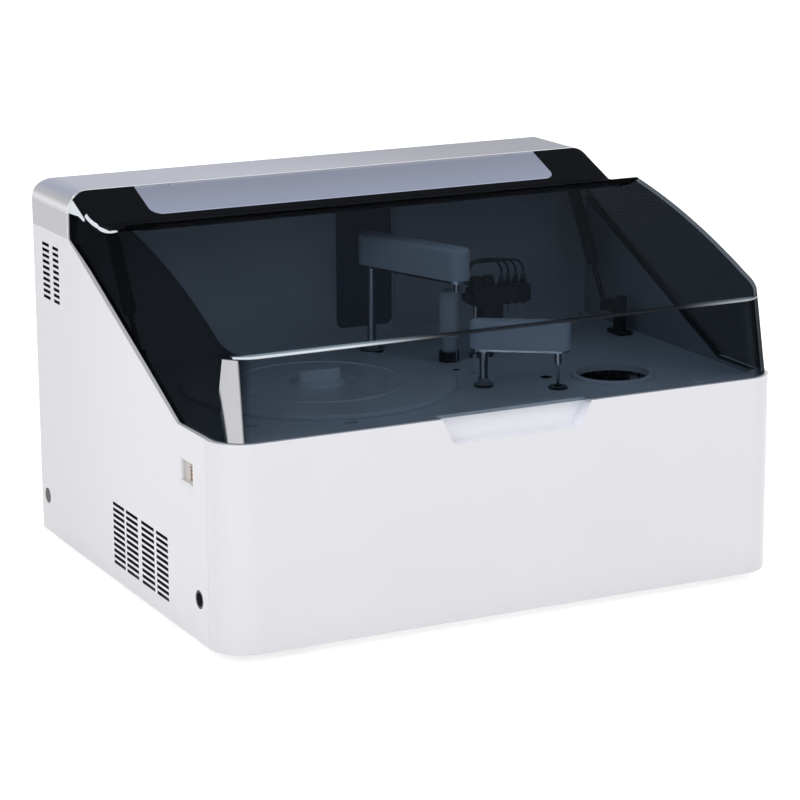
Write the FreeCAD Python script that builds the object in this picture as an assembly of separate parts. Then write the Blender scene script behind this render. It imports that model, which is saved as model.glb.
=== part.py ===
import FreeCAD, Part
import math
import os

from FreeCAD import Vector

# Benchtop chemistry analyzer: a moulded housing under a hinged tinted lid, a deck with a reagent
# carousel and a cuvette ring, a sampling arm, a stirring arm and a washing head.
# Millimetres, +Z up, front towards -Y, origin under the middle of the housing on the bench.

# Housing
width = 700.0
depth = 560.0
hood_top = 447.0
foot_height = 12.0
foot_radius = 18.0
foot_inset_x = 62.0
foot_inset_y = 62.0
panel_wall = 4.0
side_flange = 10.0
front_corner_radius = 40.6
front_panel_top = 244.0
side_seam_depth = 40.0
seam_gap = 0.4
deck_top = 236.0
deck_sheet = 3.0
liner_sheet = 3.0
overrun = 6.0

# Sloping edge of the side panels
side_level = 244.5
slope_foot_from_front = 118.3
slope_run = 320.9
skirt_level = 391.0
slope_bend_radius = 15.0

# Finger recess in the front panel, with slanted ends
recess_centre_x = 4.0
recess_top_width = 187.0
recess_floor_width = 158.0
recess_height = 30.0
recess_depth = 18.0
recess_wall = 3.0
recess_corner_radius = 9.0
rim_overlap = 7.0
tab_width = 9.0
tab_height = 1.6
tab_depth = 9.0
tab_x = 250.0

# Top hood
hood_depth = 121.0
hood_wall = 3.0
hood_side_radius = 26.0
hood_rear_radius = 20.0

# Lid hinge along the back edge of the lid
hinge_gap = 0.5
hinge_bead_radius = 3.3
hinge_relief_radius = 3.8
hinge_pin_radius = 1.6
hinge_running_gap = 0.05
hinge_pin_length = 44.0
hinge_x = 230.0
hinge_knuckle_width = 12.0
hinge_side_gap = 0.5
hinge_leaf_length = 26.0
hinge_leaf_thickness = 2.2
bead_half_length = 318.0

# Lid shell
lid_wall = 4.0
lid_seat_gap = 0.8
lid_slope_drop = 28.0
lid_slope_run = 68.5
lid_valley_run = 33.0
lid_ridge_rise = 12.0
lid_ridge_run = 41.0
lid_knee_drop = 96.5
lid_knee_from_front = 8.0
lid_bow = 11.0
lid_low_half_front = 345.6
lid_low_half_middle = 352.2
lid_low_half_back = 349.5
lid_top_half_front = 326.6
lid_top_half_middle = 333.7
lid_top_half_back = 348.0
lid_low_level = 240.0
lid_front_lean = 17.9
lid_low_corner_radius = 40.0
lid_top_corner_radius = 36.0
lid_bend_from_front = 58.0
lid_crease_radius = 4.0
lid_ridge_line = 0.2
lid_back_radius = 24.0
lid_valley_radius = 13.0
top_plate_half = 267.0
top_plate_length = 55.0
top_plate_sheet = 1.2
top_plate_corner = 14.0
band_sheet = 1.2
band_half = 300.0
band_past_ridge = 10.0
band_back_gap = 6.0

# Gas struts at both sides of the lid
strut_x = 308.0
strut_top_below_hinge = 24.0
strut_top_before_hinge = 20.2
strut_foot_y = 46.3
strut_foot_above_deck = 31.9
strut_eye_width = 8.0
strut_eye_radius = 8.5
strut_eye_bore = 5.5
strut_pin_radius = 2.3
strut_foot_pin_radius = 2.5
strut_running_gap = 0.05
strut_foot_eye_radius = 6.5
strut_rod_radius = 3.2
strut_cylinder_radius = 8.0
strut_rod_length = 96.0
strut_cylinder_start = 56.0
strut_side_gap = 0.5
strut_plate = 4.0
lug_length = 20.0
lug_below_pin = 7.0
post_length = 18.0
post_from_pivot = 22.0
post_above_deck = 48.0
post_foot_length = 34.0
post_foot_width = 20.0
post_foot_height = 4.0

# Inner back wall of the working chamber
wall_front_from_hood = 9.0
wall_sheet = 3.0
wall_top_below_hood = 20.0
wall_shelf_depth = 12.0
window_left = -10.0
window_width = 74.0
window_above_deck = 15.5
window_height = 158.0
window_corner = 8.0
window_sheet = 2.0
window_niche_width = 60.0
window_niche_side = 6.0
window_niche_height = 119.0
window_niche_depth = 1.2
cover_plate_left = 68.0
cover_plate_width = 222.0
cover_plate_above_deck = 8.0
cover_plate_height = 172.0
cover_plate_corner = 24.0
cover_plate_sheet = 2.0

# Reagent carousel
reagent_x = -128.0
reagent_y = -49.0
tub_radius = 150.0
tub_wall = 3.0
tub_depth = 112.0
tub_floor = 4.0
carousel_radius = 144.0
carousel_plate = 4.0
carousel_above_floor = 10.0
carousel_hub_radius = 22.0
carousel_hub_height = 70.0
carousel_shaft_radius = 6.0
bearing_gap = 0.05
bearing_radius = 14.0
bearing_length = 16.0
bottle_count = 20
bottle_ring_radius = 118.0
bottle_length = 34.0
bottle_width = 28.0
bottle_height = 72.0
bottle_neck_radius = 7.0
bottle_fill_depth = 62.0
bottle_side_gap = 2.0
bottle_seat = 2.0
carousel_motor_size = 42.0
carousel_motor_height = 38.0
cover_radius = 158.0
cover_height = 5.0
cover_sheet = 2.2
cover_gap = 0.3
cover_rib_radius = 96.0
cover_rib_width = 3.0
cover_rib_height = 1.2
cover_hole_radius = 5.0
grip_radius = 30.0
grip_dish_radius = 44.0
grip_dish_depth = 1.0
grip_height = 16.0
grip_width = 14.0
grip_length = 52.0
grip_foot_height = 4.0

# Cuvette ring
ring_x = 150.0
ring_y = -100.0
cuvette_count = 60
cuvette_ring_radius = 96.0
cuvette_length = 8.0
cuvette_width = 7.0
cuvette_wall = 0.9
cuvette_height = 32.0
cuvette_floor = 2.0
cuvette_below_deck = 5.0
ring_channel_width = 14.0
ring_channel_height = 10.0
ring_web_sheet = 3.0
ring_hub_radius = 24.0
ring_hub_height = 22.0
ring_shaft_radius = 5.0
bowl_radius = 104.5
bowl_wall = 2.0
bowl_depth = 78.0
bowl_floor = 4.0
ring_above_floor = 10.0
ring_knob_radius = 11.0
ring_knob_height = 26.0
ring_knob_from_axis = 71.5
ring_knob_angle = -69.5
ring_knob_flute_count = 10
ring_knob_flute_radius = 1.6
viewing_hole_x = 192.5
viewing_hole_y = -166.0
viewing_hole_radius = 42.5
viewing_rim_width = 5.5
viewing_rim_height = 5.0
deck_slot_x = 57.5
deck_slot_y = -76.9
deck_slot_radius = 3.5
deck_slot_length = 9.0
deck_oval_x = (-271.0, -168.0, -116.0, 11.6)
deck_oval_y = (-180.0, -215.0, -237.0, 51.3)
deck_oval_length = 16.0
deck_oval_radius = 4.0
deck_pocket_x = -21.0
deck_pocket_y = -234.0
deck_pocket_length = 44.0
deck_pocket_width = 22.0
deck_pocket_depth = 14.0

# Sampling arm
probe_x = 3.0
probe_y = 80.0
probe_angle = -71.2
probe_shaft_radius = 5.35
probe_reach = 140.0
probe_arm_back = 15.0
probe_arm_front = 15.0
probe_arm_width = 30.0
probe_arm_above_deck = 105.0
probe_arm_height = 40.0
probe_arm_round = 5.0
probe_sole_height = 3.0
probe_needle_radius = 0.9
probe_needle_above_deck = 8.0
probe_needle_guide_radius = 3.0
probe_needle_guide_length = 12.0
probe_well_radius = 4.6
probe_well_bore = 3.2
probe_well_depth = 84.0
probe_collar_radius = 14.0
probe_collar_height = 12.0
probe_swing_to_bottles = -24.2
probe_swing_to_cuvettes = 12.0
probe_shaft_below_deck = 82.0

# Stirring arm
mixer_x = 38.0
mixer_y = -138.0
mixer_angle = -34.4
mixer_shaft_radius = 4.75
mixer_reach = 85.0
mixer_arm_back = 16.0
mixer_arm_front = 14.0
mixer_arm_width = 24.0
mixer_arm_above_deck = 43.0
mixer_arm_height = 35.0
mixer_arm_round = 4.0
mixer_sole_height = 2.5
mixer_rod_radius = 1.4
mixer_paddle_length = 12.0
mixer_paddle_width = 3.2
mixer_rod_above_deck = 5.0
mixer_spindle_radius = 4.0
mixer_spindle_length = 14.0
mixer_collar_radius = 11.0
mixer_collar_height = 10.0
mixer_swing_to_well = 38.0
mixer_well_radius = 7.0
mixer_well_bore = 5.0
mixer_well_depth = 26.0
mixer_guard_radius = 11.0
mixer_guard_bore = 5.0
mixer_guard_height = 3.0
mixer_shaft_below_deck = 120.0

# Lift units under the deck
lift_block_height = 16.0
lift_block_width = 34.0
lift_block_back = 42.0
lift_rod_radius = 3.0
lift_rod_spacing = 22.0
lift_rod_back = 32.0
lift_running_gap = 0.06
lift_motor_size = 28.0
lift_motor_height = 26.0
lift_motor_wall_gap = 2.0

# Washing head over the cuvette ring
wash_left = 92.0
wash_right = 168.0
wash_front = -20.0
wash_back = 6.0
wash_above_deck = 60.0
wash_height = 29.0
wash_needle_count = 4
wash_cuvettes_before_count = 24
wash_needle_radius = 0.8
wash_needle_above_deck = 2.5
wash_post_radius = 3.0
wash_post_left = 98.0
wash_post_right = 114.0
wash_post_y = -7.0
wash_post_above_head = 6.0
wash_post_foot_radius = 7.0
wash_post_foot_height = 5.0
wash_block_round = 3.0
wash_shoulder_drop = 14.0
wash_nozzle_radius = 2.6
wash_nozzle_height = 7.0
wash_knob_radius = 6.5
wash_knob_height = 9.0
wash_tube_radius = 1.5
wash_tube_rise = 22.0
wash_clip_height = 12.0
wash_clip_depth = 8.0
wash_slot_radius = 4.0

# Rinse column beside the sampling arm
column_x = 61.6
column_y = -8.0
column_base_radius = 12.0
column_base_height = 12.0
column_neck_radius = 8.0
column_neck_height = 17.0
column_radius = 11.5
column_height = 55.0
column_cap_height = 3.0
column_cap_length = 22.0
column_cap_width = 12.0

# Rear, inlets and inner units
rear_recess = 2.0
usb_back_from_front = 112.0
usb_length = 37.0
usb_low = 181.0
usb_height = 30.0
usb_rim = 1.6
usb_pocket_depth = 5.0
usb_fit_gap = 0.2
usb_socket_length = 11.0
usb_socket_height = 23.0
usb_socket_lip = 1.5
usb_socket_side = 4.0
grommet_from_front = 66.3
grommet_height = 60.4
grommet_radius = 10.5
grommet_bore = 8.0
grommet_flange = 1.5
plug_from_back = 20.0
plug_height = 57.0
plug_radius = 9.5
plug_dome = 1.2
slot_height = 3.4
upper_slot_pitch = 7.1
upper_slot_row_count = 10
upper_slot_top = 374.0
upper_slot_ends = ((213.7, 194.7), (248.8, 225.9))
lower_slot_pitch = 7.0
lower_slot_row_count = 11
lower_slot_top = 106.0
lower_slot_ends = ((-126.0, -92.6), (-85.4, -48.4), (-36.9, -1.8), (4.2, 38.5))
tray_sheet = 3.0
tray_edge_height = 24.0
fan_x = 60.0
fan_z = 150.0
fan_size = 120.0
fan_depth = 25.0
fan_bore = 57.0
fan_hub_radius = 19.0
fan_blade_count = 7
fan_blade_radius = 54.0
fan_blade_sheet = 1.6
fan_blade_pitch_angle = 38.0
fan_corner = 8.0
fan_spindle_radius = 2.0
fan_guard_ring_count = 5
fan_guard_bar_width = 2.2
fan_running_gap = 0.05
inlet_side_gap = 80.0
inlet_z = 60.0
inlet_width = 48.0
inlet_height = 28.0
inlet_depth = 24.0
inlet_flange = 2.0
inlet_flange_margin = 3.0
inlet_well_width = 25.0
inlet_well_height = 16.0
inlet_well_depth = 17.0
inlet_blade_width = 2.0
inlet_blade_height = 6.5
inlet_blade_length = 14.0
inlet_blade_spacing = 7.0
rocker_side_gap = 145.0
rocker_width = 21.0
rocker_height = 27.0
rocker_frame = 3.0
rocker_depth = 14.0
rocker_out = 3.0
rocker_gap = 0.5
rocker_pin_radius = 1.5
port_side_gap = 50.0
port_spacing = 30.0
port_count = 4
port_z = 70.0
port_radius = 6.0
port_barb_radius = 3.6
port_length = 12.0
port_bore = 2.0
port_plate_width = 126.0
port_plate_height = 34.0
port_plate_sheet = 2.0
data_port_x = 140.0
data_port_z = 60.0
data_port_width = 34.0
data_port_height = 13.0
supply_side_gap = 50.0
supply_width = 110.0
supply_back_gap = 26.0
supply_length = 150.0
supply_height = 52.0
board_side_gap = 50.0
board_width = 200.0
board_sheet = 1.6
board_height = 120.0
board_from_back = 60.0
board_foot = 14.0
lamp_width = 34.0
lamp_height = 40.0
lamp_length = 46.0
lamp_above_floor = 22.0
vent_row_count = 9
vent_pitch = 9.0
vent_height = 3.6
vent_length = 90.0
vent_centre_x = -130.0
vent_top = 300.0
screw_radius = 3.4
screw_height = 1.6
screw_inset = 14.0
fillet_small = 1.0
fillet_middle = 2.0
fillet_large = 3.0
corner_round = 4.0
small_step = 2.0
closeness = 0.000001

# Places worked out from the values

half_width = width / 2
front_y = -depth / 2
back_y = depth / 2
rear_face_y = back_y - rear_recess
seam_y = front_y + side_seam_depth
hood_front_y = back_y - hood_depth
hinge_y = hood_front_y - hinge_gap
hinge_z = hood_top - hinge_bead_radius
slope_foot_y = front_y + slope_foot_from_front
slope_top_y = slope_foot_y + slope_run
inner_half = half_width - side_flange
deck_under = deck_top - deck_sheet
recess_back_y = front_y + recess_depth
deck_front_y = recess_back_y + recess_wall
rim_back_y = deck_front_y + rim_overlap
wall_y = hood_front_y - wall_front_from_hood
wall_top = hood_top - wall_top_below_hood
tray_top = foot_height + tray_sheet
tub_low = deck_under - tub_depth
bowl_low = deck_under - bowl_depth
supply_left = half_width - supply_side_gap - supply_width
board_left = board_side_gap - half_width
inlet_x = half_width - inlet_side_gap
rocker_x = half_width - rocker_side_gap
port_x = [port_side_gap - half_width + port_spacing * index for index in range(port_count)]
wash_post_x = [wash_post_left, wash_post_right]
arc_sag_share = math.sqrt(2) - 1


def box(x0, x1, y0, y1, z0, z1):
    """Block between two opposite corners."""
    return Part.makeBox(x1 - x0, y1 - y0, z1 - z0, Vector(x0, y0, z0))


def post(radius, x, y, z0, z1):
    """Upright round bar."""
    return Part.makeCylinder(radius, z1 - z0, Vector(x, y, z0))


def bar(radius, start, end):
    """Round bar between two points."""
    run = end - start
    return Part.makeCylinder(radius, run.Length, start, run)


def outline(points, radii):
    """Closed wire through points, each corner rounded by its radius."""
    entries, exits, middles = [], [], []
    for index, corner in enumerate(points):
        back = (points[index - 1] - corner).normalize()
        ahead = (points[(index + 1) % len(points)] - corner).normalize()
        radius = radii[index]
        half = back.getAngle(ahead) / 2
        reach = radius / math.tan(half) if radius else 0
        entries.append(corner + back * reach)
        exits.append(corner + ahead * reach)
        if radius:
            inward = (back + ahead).normalize()
            middles.append(corner + inward * (radius / math.sin(half) - radius))
        else:
            middles.append(None)
    edges = []
    for index, middle in enumerate(middles):
        if middle is not None:
            edges.append(Part.Arc(entries[index], middle, exits[index]).toShape())
        start = exits[index]
        end = entries[(index + 1) % len(points)]
        if not start.isEqual(end, closeness):
            edges.append(Part.LineSegment(start, end).toShape())
    return Part.Wire(edges)


def all_radii(points, radii):
    """One radius for each corner, from a single value or a list."""
    return radii if isinstance(radii, (list, tuple)) else [radii] * len(points)


def prism_x(points, radii, x0, x1):
    """Profile of (y, z) points drawn out along X."""
    wire = outline([Vector(x0, y, z) for y, z in points], all_radii(points, radii))
    return Part.Face(wire).extrude(Vector(x1 - x0, 0, 0))


def prism_y(points, radii, y0, y1):
    """Profile of (x, z) points drawn out along Y."""
    wire = outline([Vector(x, y0, z) for x, z in points], all_radii(points, radii))
    return Part.Face(wire).extrude(Vector(0, y1 - y0, 0))


def prism_z(points, radii, z0, z1):
    """Plan of (x, y) points drawn out along Z."""
    wire = outline([Vector(x, y, z0) for x, y in points], all_radii(points, radii))
    return Part.Face(wire).extrude(Vector(0, 0, z1 - z0))


def rectangle(u0, u1, v0, v1):
    """Four corners of a rectangle."""
    return [(u0, v0), (u1, v0), (u1, v1), (u0, v1)]


def meet(first, second):
    """Point where two lines cross, each given by a point and a direction."""
    (px, py), (ux, uy) = first
    (qx, qy), (vx, vy) = second
    turn = ux * vy - uy * vx
    along = ((qx - px) * vy - (qy - py) * vx) / turn
    return px + ux * along, py + uy * along


def inset(points, distances):
    """Outline whose sides, taken anticlockwise, move inward by their own distances."""
    sides = []
    for index, (px, py) in enumerate(points):
        qx, qy = points[(index + 1) % len(points)]
        run = math.hypot(qx - px, qy - py)
        ux, uy = (qx - px) / run, (qy - py) / run
        step = distances[index]
        sides.append(((px - uy * step, py + ux * step), (ux, uy)))
    return [meet(sides[index - 1], sides[index]) for index in range(len(points))]


def mirror(shape):
    """Copy on the other side of the middle plane."""
    return shape.mirror(Vector(0, 0, 0), Vector(1, 0, 0))


def fused(shapes):
    """All shapes joined to one."""
    return shapes[0].multiFuse(shapes[1:]).removeSplitter() if len(shapes) > 1 else shapes[0]


def group(shapes):
    """Separate solids kept together in one node."""
    return Part.makeCompound(shapes)


def polar(x, y, radius, angle):
    """Point at a distance and an angle in degrees from (x, y)."""
    turn = math.radians(angle)
    return x + radius * math.cos(turn), y + radius * math.sin(turn)



def housing_plan(step):
    """Plan of the housing, moved inward all round by a step."""
    back = back_y - (rear_recess if step else 0)
    points = inset(rectangle(-half_width, half_width, front_y, back), [step] * 4)
    corner = front_corner_radius - step
    return points, [corner, corner, 0, 0]


def side_outline(step, spread):
    """Side panel outline in (y, z), its upper edges lowered by a step and the others spread outward."""
    points = [
        (seam_y + seam_gap, foot_height),
        (back_y, foot_height),
        (back_y, skirt_level),
        (slope_top_y, skirt_level),
        (slope_foot_y, side_level),
        (seam_y + seam_gap, side_level),
    ]
    bend = slope_bend_radius + step
    return inset(points, [-spread, -spread, step, step, step, -spread]), [0, 0, 0, 0, bend, 0]


def slots(ends, top, rows, pitch):
    """Columns of level slots through the left wall."""
    cuts = []
    for y0, y1 in ends:
        for row in range(rows):
            z1 = top - row * pitch
            z0 = z1 - slot_height
            start = min(y0, y1)
            end = max(y0, y1)
            cuts.append(box(-half_width - overrun, -inner_half, start, end, z0, z1))
    return cuts


def plain_side_panel():
    """Right side panel: a wall with a flange that turns inward along its upper edges."""
    points, radii = side_outline(0, 0)
    body = prism_x(points, radii, inner_half, half_width)
    points, radii = side_outline(panel_wall, overrun)
    hollow = prism_x(points, radii, inner_half - overrun, half_width - panel_wall)
    return body.cut(hollow)


def usb_box(step, outer, inner):
    """Block in the left wall around the data socket, grown by a step."""
    y1 = front_y + usb_back_from_front + step
    y0 = y1 - usb_length - step * 2
    return box(-outer, -inner, y0, y1, usb_low - step, usb_low + usb_height + step)


def left_side_panel():
    """Left side panel with its air slots and the holes for the data socket, drain and plug."""
    body = mirror(plain_side_panel())
    cuts = slots(upper_slot_ends, upper_slot_top, upper_slot_row_count, upper_slot_pitch)
    cuts += slots(lower_slot_ends, lower_slot_top, lower_slot_row_count, lower_slot_pitch)
    cuts.append(usb_box(usb_fit_gap, half_width + overrun, inner_half - overrun))
    for y, z, radius in (
        (front_y + grommet_from_front, grommet_height, grommet_radius),
        (back_y - plug_from_back, plug_height, plug_radius),
    ):
        cuts.append(bar(radius, Vector(-half_width - overrun, y, z), Vector(-inner_half, y, z)))
    return body.cut(group(cuts))


def front_panel():
    """Front moulding that wraps round both corners, with the finger recess in its upper edge."""
    points, radii = housing_plan(0)
    shell = prism_z(points, radii, foot_height, front_panel_top)
    points, radii = housing_plan(panel_wall)
    shell = shell.cut(prism_z(points, radii, foot_height - overrun, deck_top))
    points = inset(rectangle(-half_width, half_width, front_y, back_y),
                   [rim_back_y - front_y, side_flange, 0, side_flange])
    corner = front_corner_radius - side_flange
    shell = shell.cut(prism_z(points, [corner, corner, 0, 0], deck_top - overrun, front_panel_top + overrun))
    shell = shell.cut(box(-width, width, seam_y, back_y + overrun, 0, hood_top))
    shell = shell.fuse(recess_block(recess_wall, recess_back_y + recess_wall))
    shell = shell.cut(recess_block(0, recess_back_y))
    return shell.removeSplitter()


def recess_block(step, back):
    """Slanted block of the finger recess, grown by a step, from the front face to a depth."""
    top = front_panel_top + (0 if step else overrun)
    start = front_y if step else front_y - overrun
    half_top = recess_top_width / 2
    half_low = recess_floor_width / 2
    low = front_panel_top - recess_height
    lean = (half_top - half_low) / recess_height * (top - front_panel_top)
    points = [
        (recess_centre_x - half_low, low),
        (recess_centre_x + half_low, low),
        (recess_centre_x + half_top + lean, top),
        (recess_centre_x - half_top - lean, top),
    ]
    points = inset(points, [-step, -step, 0, -step])
    corner = recess_corner_radius + step
    return prism_y(points, [corner, corner, 0, 0], start, back)


def rear_panel():
    """Back wall with openings for the fan, inlets and air."""
    wall = box(panel_wall - half_width, half_width - panel_wall, rear_face_y - panel_wall,
               rear_face_y, foot_height, skirt_level)
    y0 = rear_face_y - panel_wall - overrun
    y1 = rear_face_y + overrun
    cuts = [bar(fan_bore, Vector(fan_x, y0, fan_z), Vector(fan_x, y1, fan_z)).cut(fan_guard(y0, y1))]
    cuts.append(inlet_block(0, y0, y1))
    cuts.append(rocker_block(0, y0, y1))
    half = data_port_width / 2
    cuts.append(box(data_port_x - half, data_port_x + half, y0, y1, data_port_z,
                    data_port_z + data_port_height))
    for x in port_x:
        cuts.append(bar(port_radius, Vector(x, y0, port_z), Vector(x, y1, port_z)))
    half = vent_length / 2
    for row in range(vent_row_count):
        z1 = vent_top - row * vent_pitch
        cuts.append(box(vent_centre_x - half, vent_centre_x + half, y0, y1, z1 - vent_height, z1))
    for side in (-width, inner_half):
        cuts.append(box(side, side + width - inner_half, y0, y1, skirt_level - panel_wall, hood_top))
    return wall.cut(group(cuts))


def inlet_block(step, y0, y1):
    """Body of the power inlet, grown by a step."""
    half = inlet_width / 2 + step
    rise = inlet_height / 2 + step
    return box(inlet_x - half, inlet_x + half, y0, y1, inlet_z - rise, inlet_z + rise)


def rocker_block(step, y0, y1):
    """Body of the power switch, grown by a step."""
    half = rocker_width / 2 + rocker_frame + step
    rise = rocker_height / 2 + rocker_frame + step
    return box(rocker_x - half, rocker_x + half, y0, y1, inlet_z - rise, inlet_z + rise)


def top_hood():
    """Fixed hood over the back, rounded along its sides and its rear edge."""
    def solid(step):
        sides = inset(rectangle(-half_width, half_width, skirt_level, hood_top), [0, step, step, step])
        low = skirt_level - (overrun if step else 0)
        sides = [(sides[0][0], low), (sides[1][0], low), sides[2], sides[3]]
        start = hood_front_y - (overrun if step else 0)
        corner = hood_side_radius - step
        across = prism_y(sides, [0, 0, corner, corner], start, back_y - step)
        lengths = rectangle(start, back_y - step, low, hood_top - step)
        along = prism_x(lengths, [0, 0, hood_rear_radius - step, 0], -half_width, half_width)
        return across.common(along)
    shell = solid(0).cut(solid(hood_wall))
    relief = bar(hinge_relief_radius, Vector(-width, hinge_y, hinge_z), Vector(width, hinge_y, hinge_z))
    return shell.cut(relief)


def chassis_tray():
    """Folded base tray inside the panels."""
    points, radii = housing_plan(panel_wall)
    outer = prism_z(points, radii, foot_height, foot_height + tray_edge_height)
    points, radii = housing_plan(panel_wall + tray_sheet)
    return outer.cut(prism_z(points, radii, tray_top, hood_top))


def feet():
    """Four round rubber feet."""
    pads = []
    for x in (half_width - foot_inset_x, foot_inset_x - half_width):
        for y in (back_y - foot_inset_y, front_y + foot_inset_y):
            pad = post(foot_radius, x, y, 0, foot_height)
            pads.append(pad.makeChamfer(fillet_small, [pad.Edges[2]]))
    return group(pads)


def deck_plate():
    """Working deck with its holes."""
    plate = box(-inner_half, inner_half, deck_front_y, wall_y, deck_under, deck_top)
    z0 = deck_under - overrun
    z1 = deck_top + overrun
    cuts = [post(tub_radius, reagent_x, reagent_y, z0, z1)]
    cuts.append(post(viewing_hole_radius, viewing_hole_x, viewing_hole_y, z0, z1))
    cuts.append(post(probe_shaft_radius + lift_running_gap, probe_x, probe_y, z0, z1))
    cuts.append(post(mixer_shaft_radius + lift_running_gap, mixer_x, mixer_y, z0, z1))
    cuts.append(post(probe_well_radius, *probe_tip(0), z0, z1))
    cuts.append(post(probe_well_bore, *probe_tip(probe_swing_to_cuvettes), z0, z1))
    cuts.append(post(mixer_guard_bore, *mixer_tip(0), z0, z1))
    cuts.append(post(mixer_well_radius, *mixer_tip(mixer_swing_to_well), z0, z1))
    first = wash_points()[0]
    last = wash_points()[-1]
    low = first[1] - wash_slot_radius
    high = first[1] + wash_slot_radius + (wash_points()[1][1] - first[1])
    cuts.append(prism_z(rectangle(first[0] - wash_slot_radius, last[0] + wash_slot_radius, low, high),
                        wash_slot_radius - fillet_small, z0, z1))
    half = deck_slot_length / 2
    cuts.append(prism_z(rectangle(deck_slot_x - half, deck_slot_x + half, deck_slot_y - deck_slot_radius,
                                  deck_slot_y + deck_slot_radius), deck_slot_radius - fillet_small, z0, z1))
    for x, y in zip(deck_oval_x, deck_oval_y):
        half = deck_oval_length / 2
        cuts.append(prism_z(rectangle(x - half, x + half, y - deck_oval_radius, y + deck_oval_radius),
                            deck_oval_radius - fillet_small, z0, z1))
    cuts.append(deck_pocket_block(0, z0, z1))
    return plate.cut(group(cuts))


def deck_pocket_block(step, z0, z1):
    """Block of the small pocket in the deck, grown by a step."""
    half = deck_pocket_length / 2 + step
    deep = deck_pocket_width / 2 + step
    points = rectangle(deck_pocket_x - half, deck_pocket_x + half, deck_pocket_y - deep,
                       deck_pocket_y + deep)
    return prism_z(points, step + fillet_small, z0, z1)


def deck_pocket():
    """Small moulded tray that hangs in the deck."""
    tub = deck_pocket_block(deck_sheet, deck_under - deck_pocket_depth, deck_under)
    return tub.cut(deck_pocket_block(0, deck_under - deck_pocket_depth + deck_sheet, deck_top))


def probe_tip(swing):
    """Place of the sampling needle at a swing."""
    return polar(probe_x, probe_y, probe_reach, probe_angle + swing)


def mixer_tip(swing):
    """Place of the stirrer at a swing."""
    return polar(mixer_x, mixer_y, mixer_reach, mixer_angle + swing)


def ring_start():
    """Angle of the cuvette that stands under the stirrer at rest."""
    x, y = mixer_tip(0)
    return math.degrees(math.atan2(y - ring_y, x - ring_x))


def wash_points():
    """Places of the washing needles, each over a cuvette."""
    step = math.degrees(math.pi * 2) / cuvette_count
    first = ring_start() - wash_cuvettes_before_count * step
    return [polar(ring_x, ring_y, cuvette_ring_radius, first - index * step)
            for index in range(wash_needle_count)]


def liner():
    """Right inner side wall between the deck and the flange of the side panel."""
    points, radii = side_outline(panel_wall, 0)
    wall = prism_x(points, radii, inner_half, inner_half + liner_sheet)
    return wall.common(box(0, width, seam_y + seam_gap, wall_y, deck_under, hood_top))


def inner_wall():
    """Upright wall behind the deck with a shelf along its upper edge and the window opening."""
    wall = box(-inner_half, inner_half, wall_y, wall_y + wall_sheet, deck_under, wall_top)
    shelf = box(-inner_half, inner_half, wall_y, wall_y + wall_shelf_depth, wall_top - wall_sheet, wall_top)
    points = window_points(-window_corner)
    return wall.fuse(shelf).removeSplitter().cut(prism_y(points, window_corner, wall_y - overrun,
                                                         wall_y + wall_sheet + overrun))


def window_points(step):
    """Corners of the dark window, grown by a step."""
    low = deck_top + window_above_deck
    points = rectangle(window_left, window_left + window_width, low, low + window_height)
    return inset(points, [-step] * 4)


def rear_window():
    """Dark window plate with a shallow niche."""
    front = wall_y - window_sheet
    plate = prism_y(window_points(0), window_corner, front, wall_y)
    low = deck_top + window_above_deck + window_niche_side
    left = window_left + window_width - window_niche_width - window_niche_side / 2
    niche = rectangle(left, left + window_niche_width, low, low + window_niche_height)
    return plate.cut(prism_y(niche, window_niche_side, front - overrun, front + window_niche_depth))


def rear_cover_plate():
    """Light cover plate beside the window, with one large rounded corner."""
    low = deck_top + cover_plate_above_deck
    points = rectangle(cover_plate_left, cover_plate_left + cover_plate_width, low, low + cover_plate_height)
    corner = cover_plate_corner
    small = corner / 4
    return prism_y(points, [small, small, corner, small], wall_y - cover_plate_sheet, wall_y)


def lid_line():
    """Upper line of the lid behind its ridge, from the hinge forward, in (y, z)."""
    y0 = hinge_y
    y1 = y0 - lid_slope_run
    y2 = y1 - lid_valley_run
    y3 = y2 - lid_ridge_run
    low = hood_top - lid_slope_drop
    return [(y0, hood_top), (y1, low), (y2, low), (y3, low + lid_ridge_rise)]


def lid_bow_circle():
    """Centre and radius of the arc from the ridge to the front knee."""
    ridge_y, ridge_z = lid_line()[-1]
    knee_y = front_y + lid_knee_from_front
    knee_z = ridge_z - lid_knee_drop
    chord = math.hypot(ridge_y - knee_y, ridge_z - knee_z)
    radius = (chord * chord / 4 + lid_bow * lid_bow) / (2 * lid_bow)
    uy, uz = (knee_y - ridge_y) / chord, (knee_z - ridge_z) / chord
    middle_y, middle_z = (ridge_y + knee_y) / 2, (ridge_z + knee_z) / 2
    down = radius - lid_bow
    return middle_y - uz * down, middle_z + uy * down, radius


def lid_corners(step):
    """Corners of the lid's upper line from the back edge to the ridge, lowered by a step, in (y, z)."""
    line = lid_line()
    centre_y, centre_z, radius = lid_bow_circle()
    sides = []
    for (py, pz), (qy, qz) in zip(line, line[1:]):
        run = math.hypot(qy - py, qz - pz)
        uy, uz = (qy - py) / run, (qz - pz) / run
        sides.append(((py - uz * step, pz + uy * step), (uy, uz)))
    back = hinge_y + (overrun if step else 0)
    first = meet(sides[0], ((back, 0), (0, 1)))
    corners = [first, meet(sides[0], sides[1]), meet(sides[1], sides[2])]
    (py, pz), (uy, uz) = sides[2]
    away = (py - centre_y) * uy + (pz - centre_z) * uz
    gap = (py - centre_y) ** 2 + (pz - centre_z) ** 2 - (radius - step) ** 2
    along = -away + math.sqrt(away * away - gap)
    options = [(py + uy * t, pz + uz * t) for t in (along, -away * 2 - along)]
    ridge = min(options, key=lambda spot: abs(spot[0] - line[-1][0]))
    corners.append(ridge)
    return corners


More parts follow.
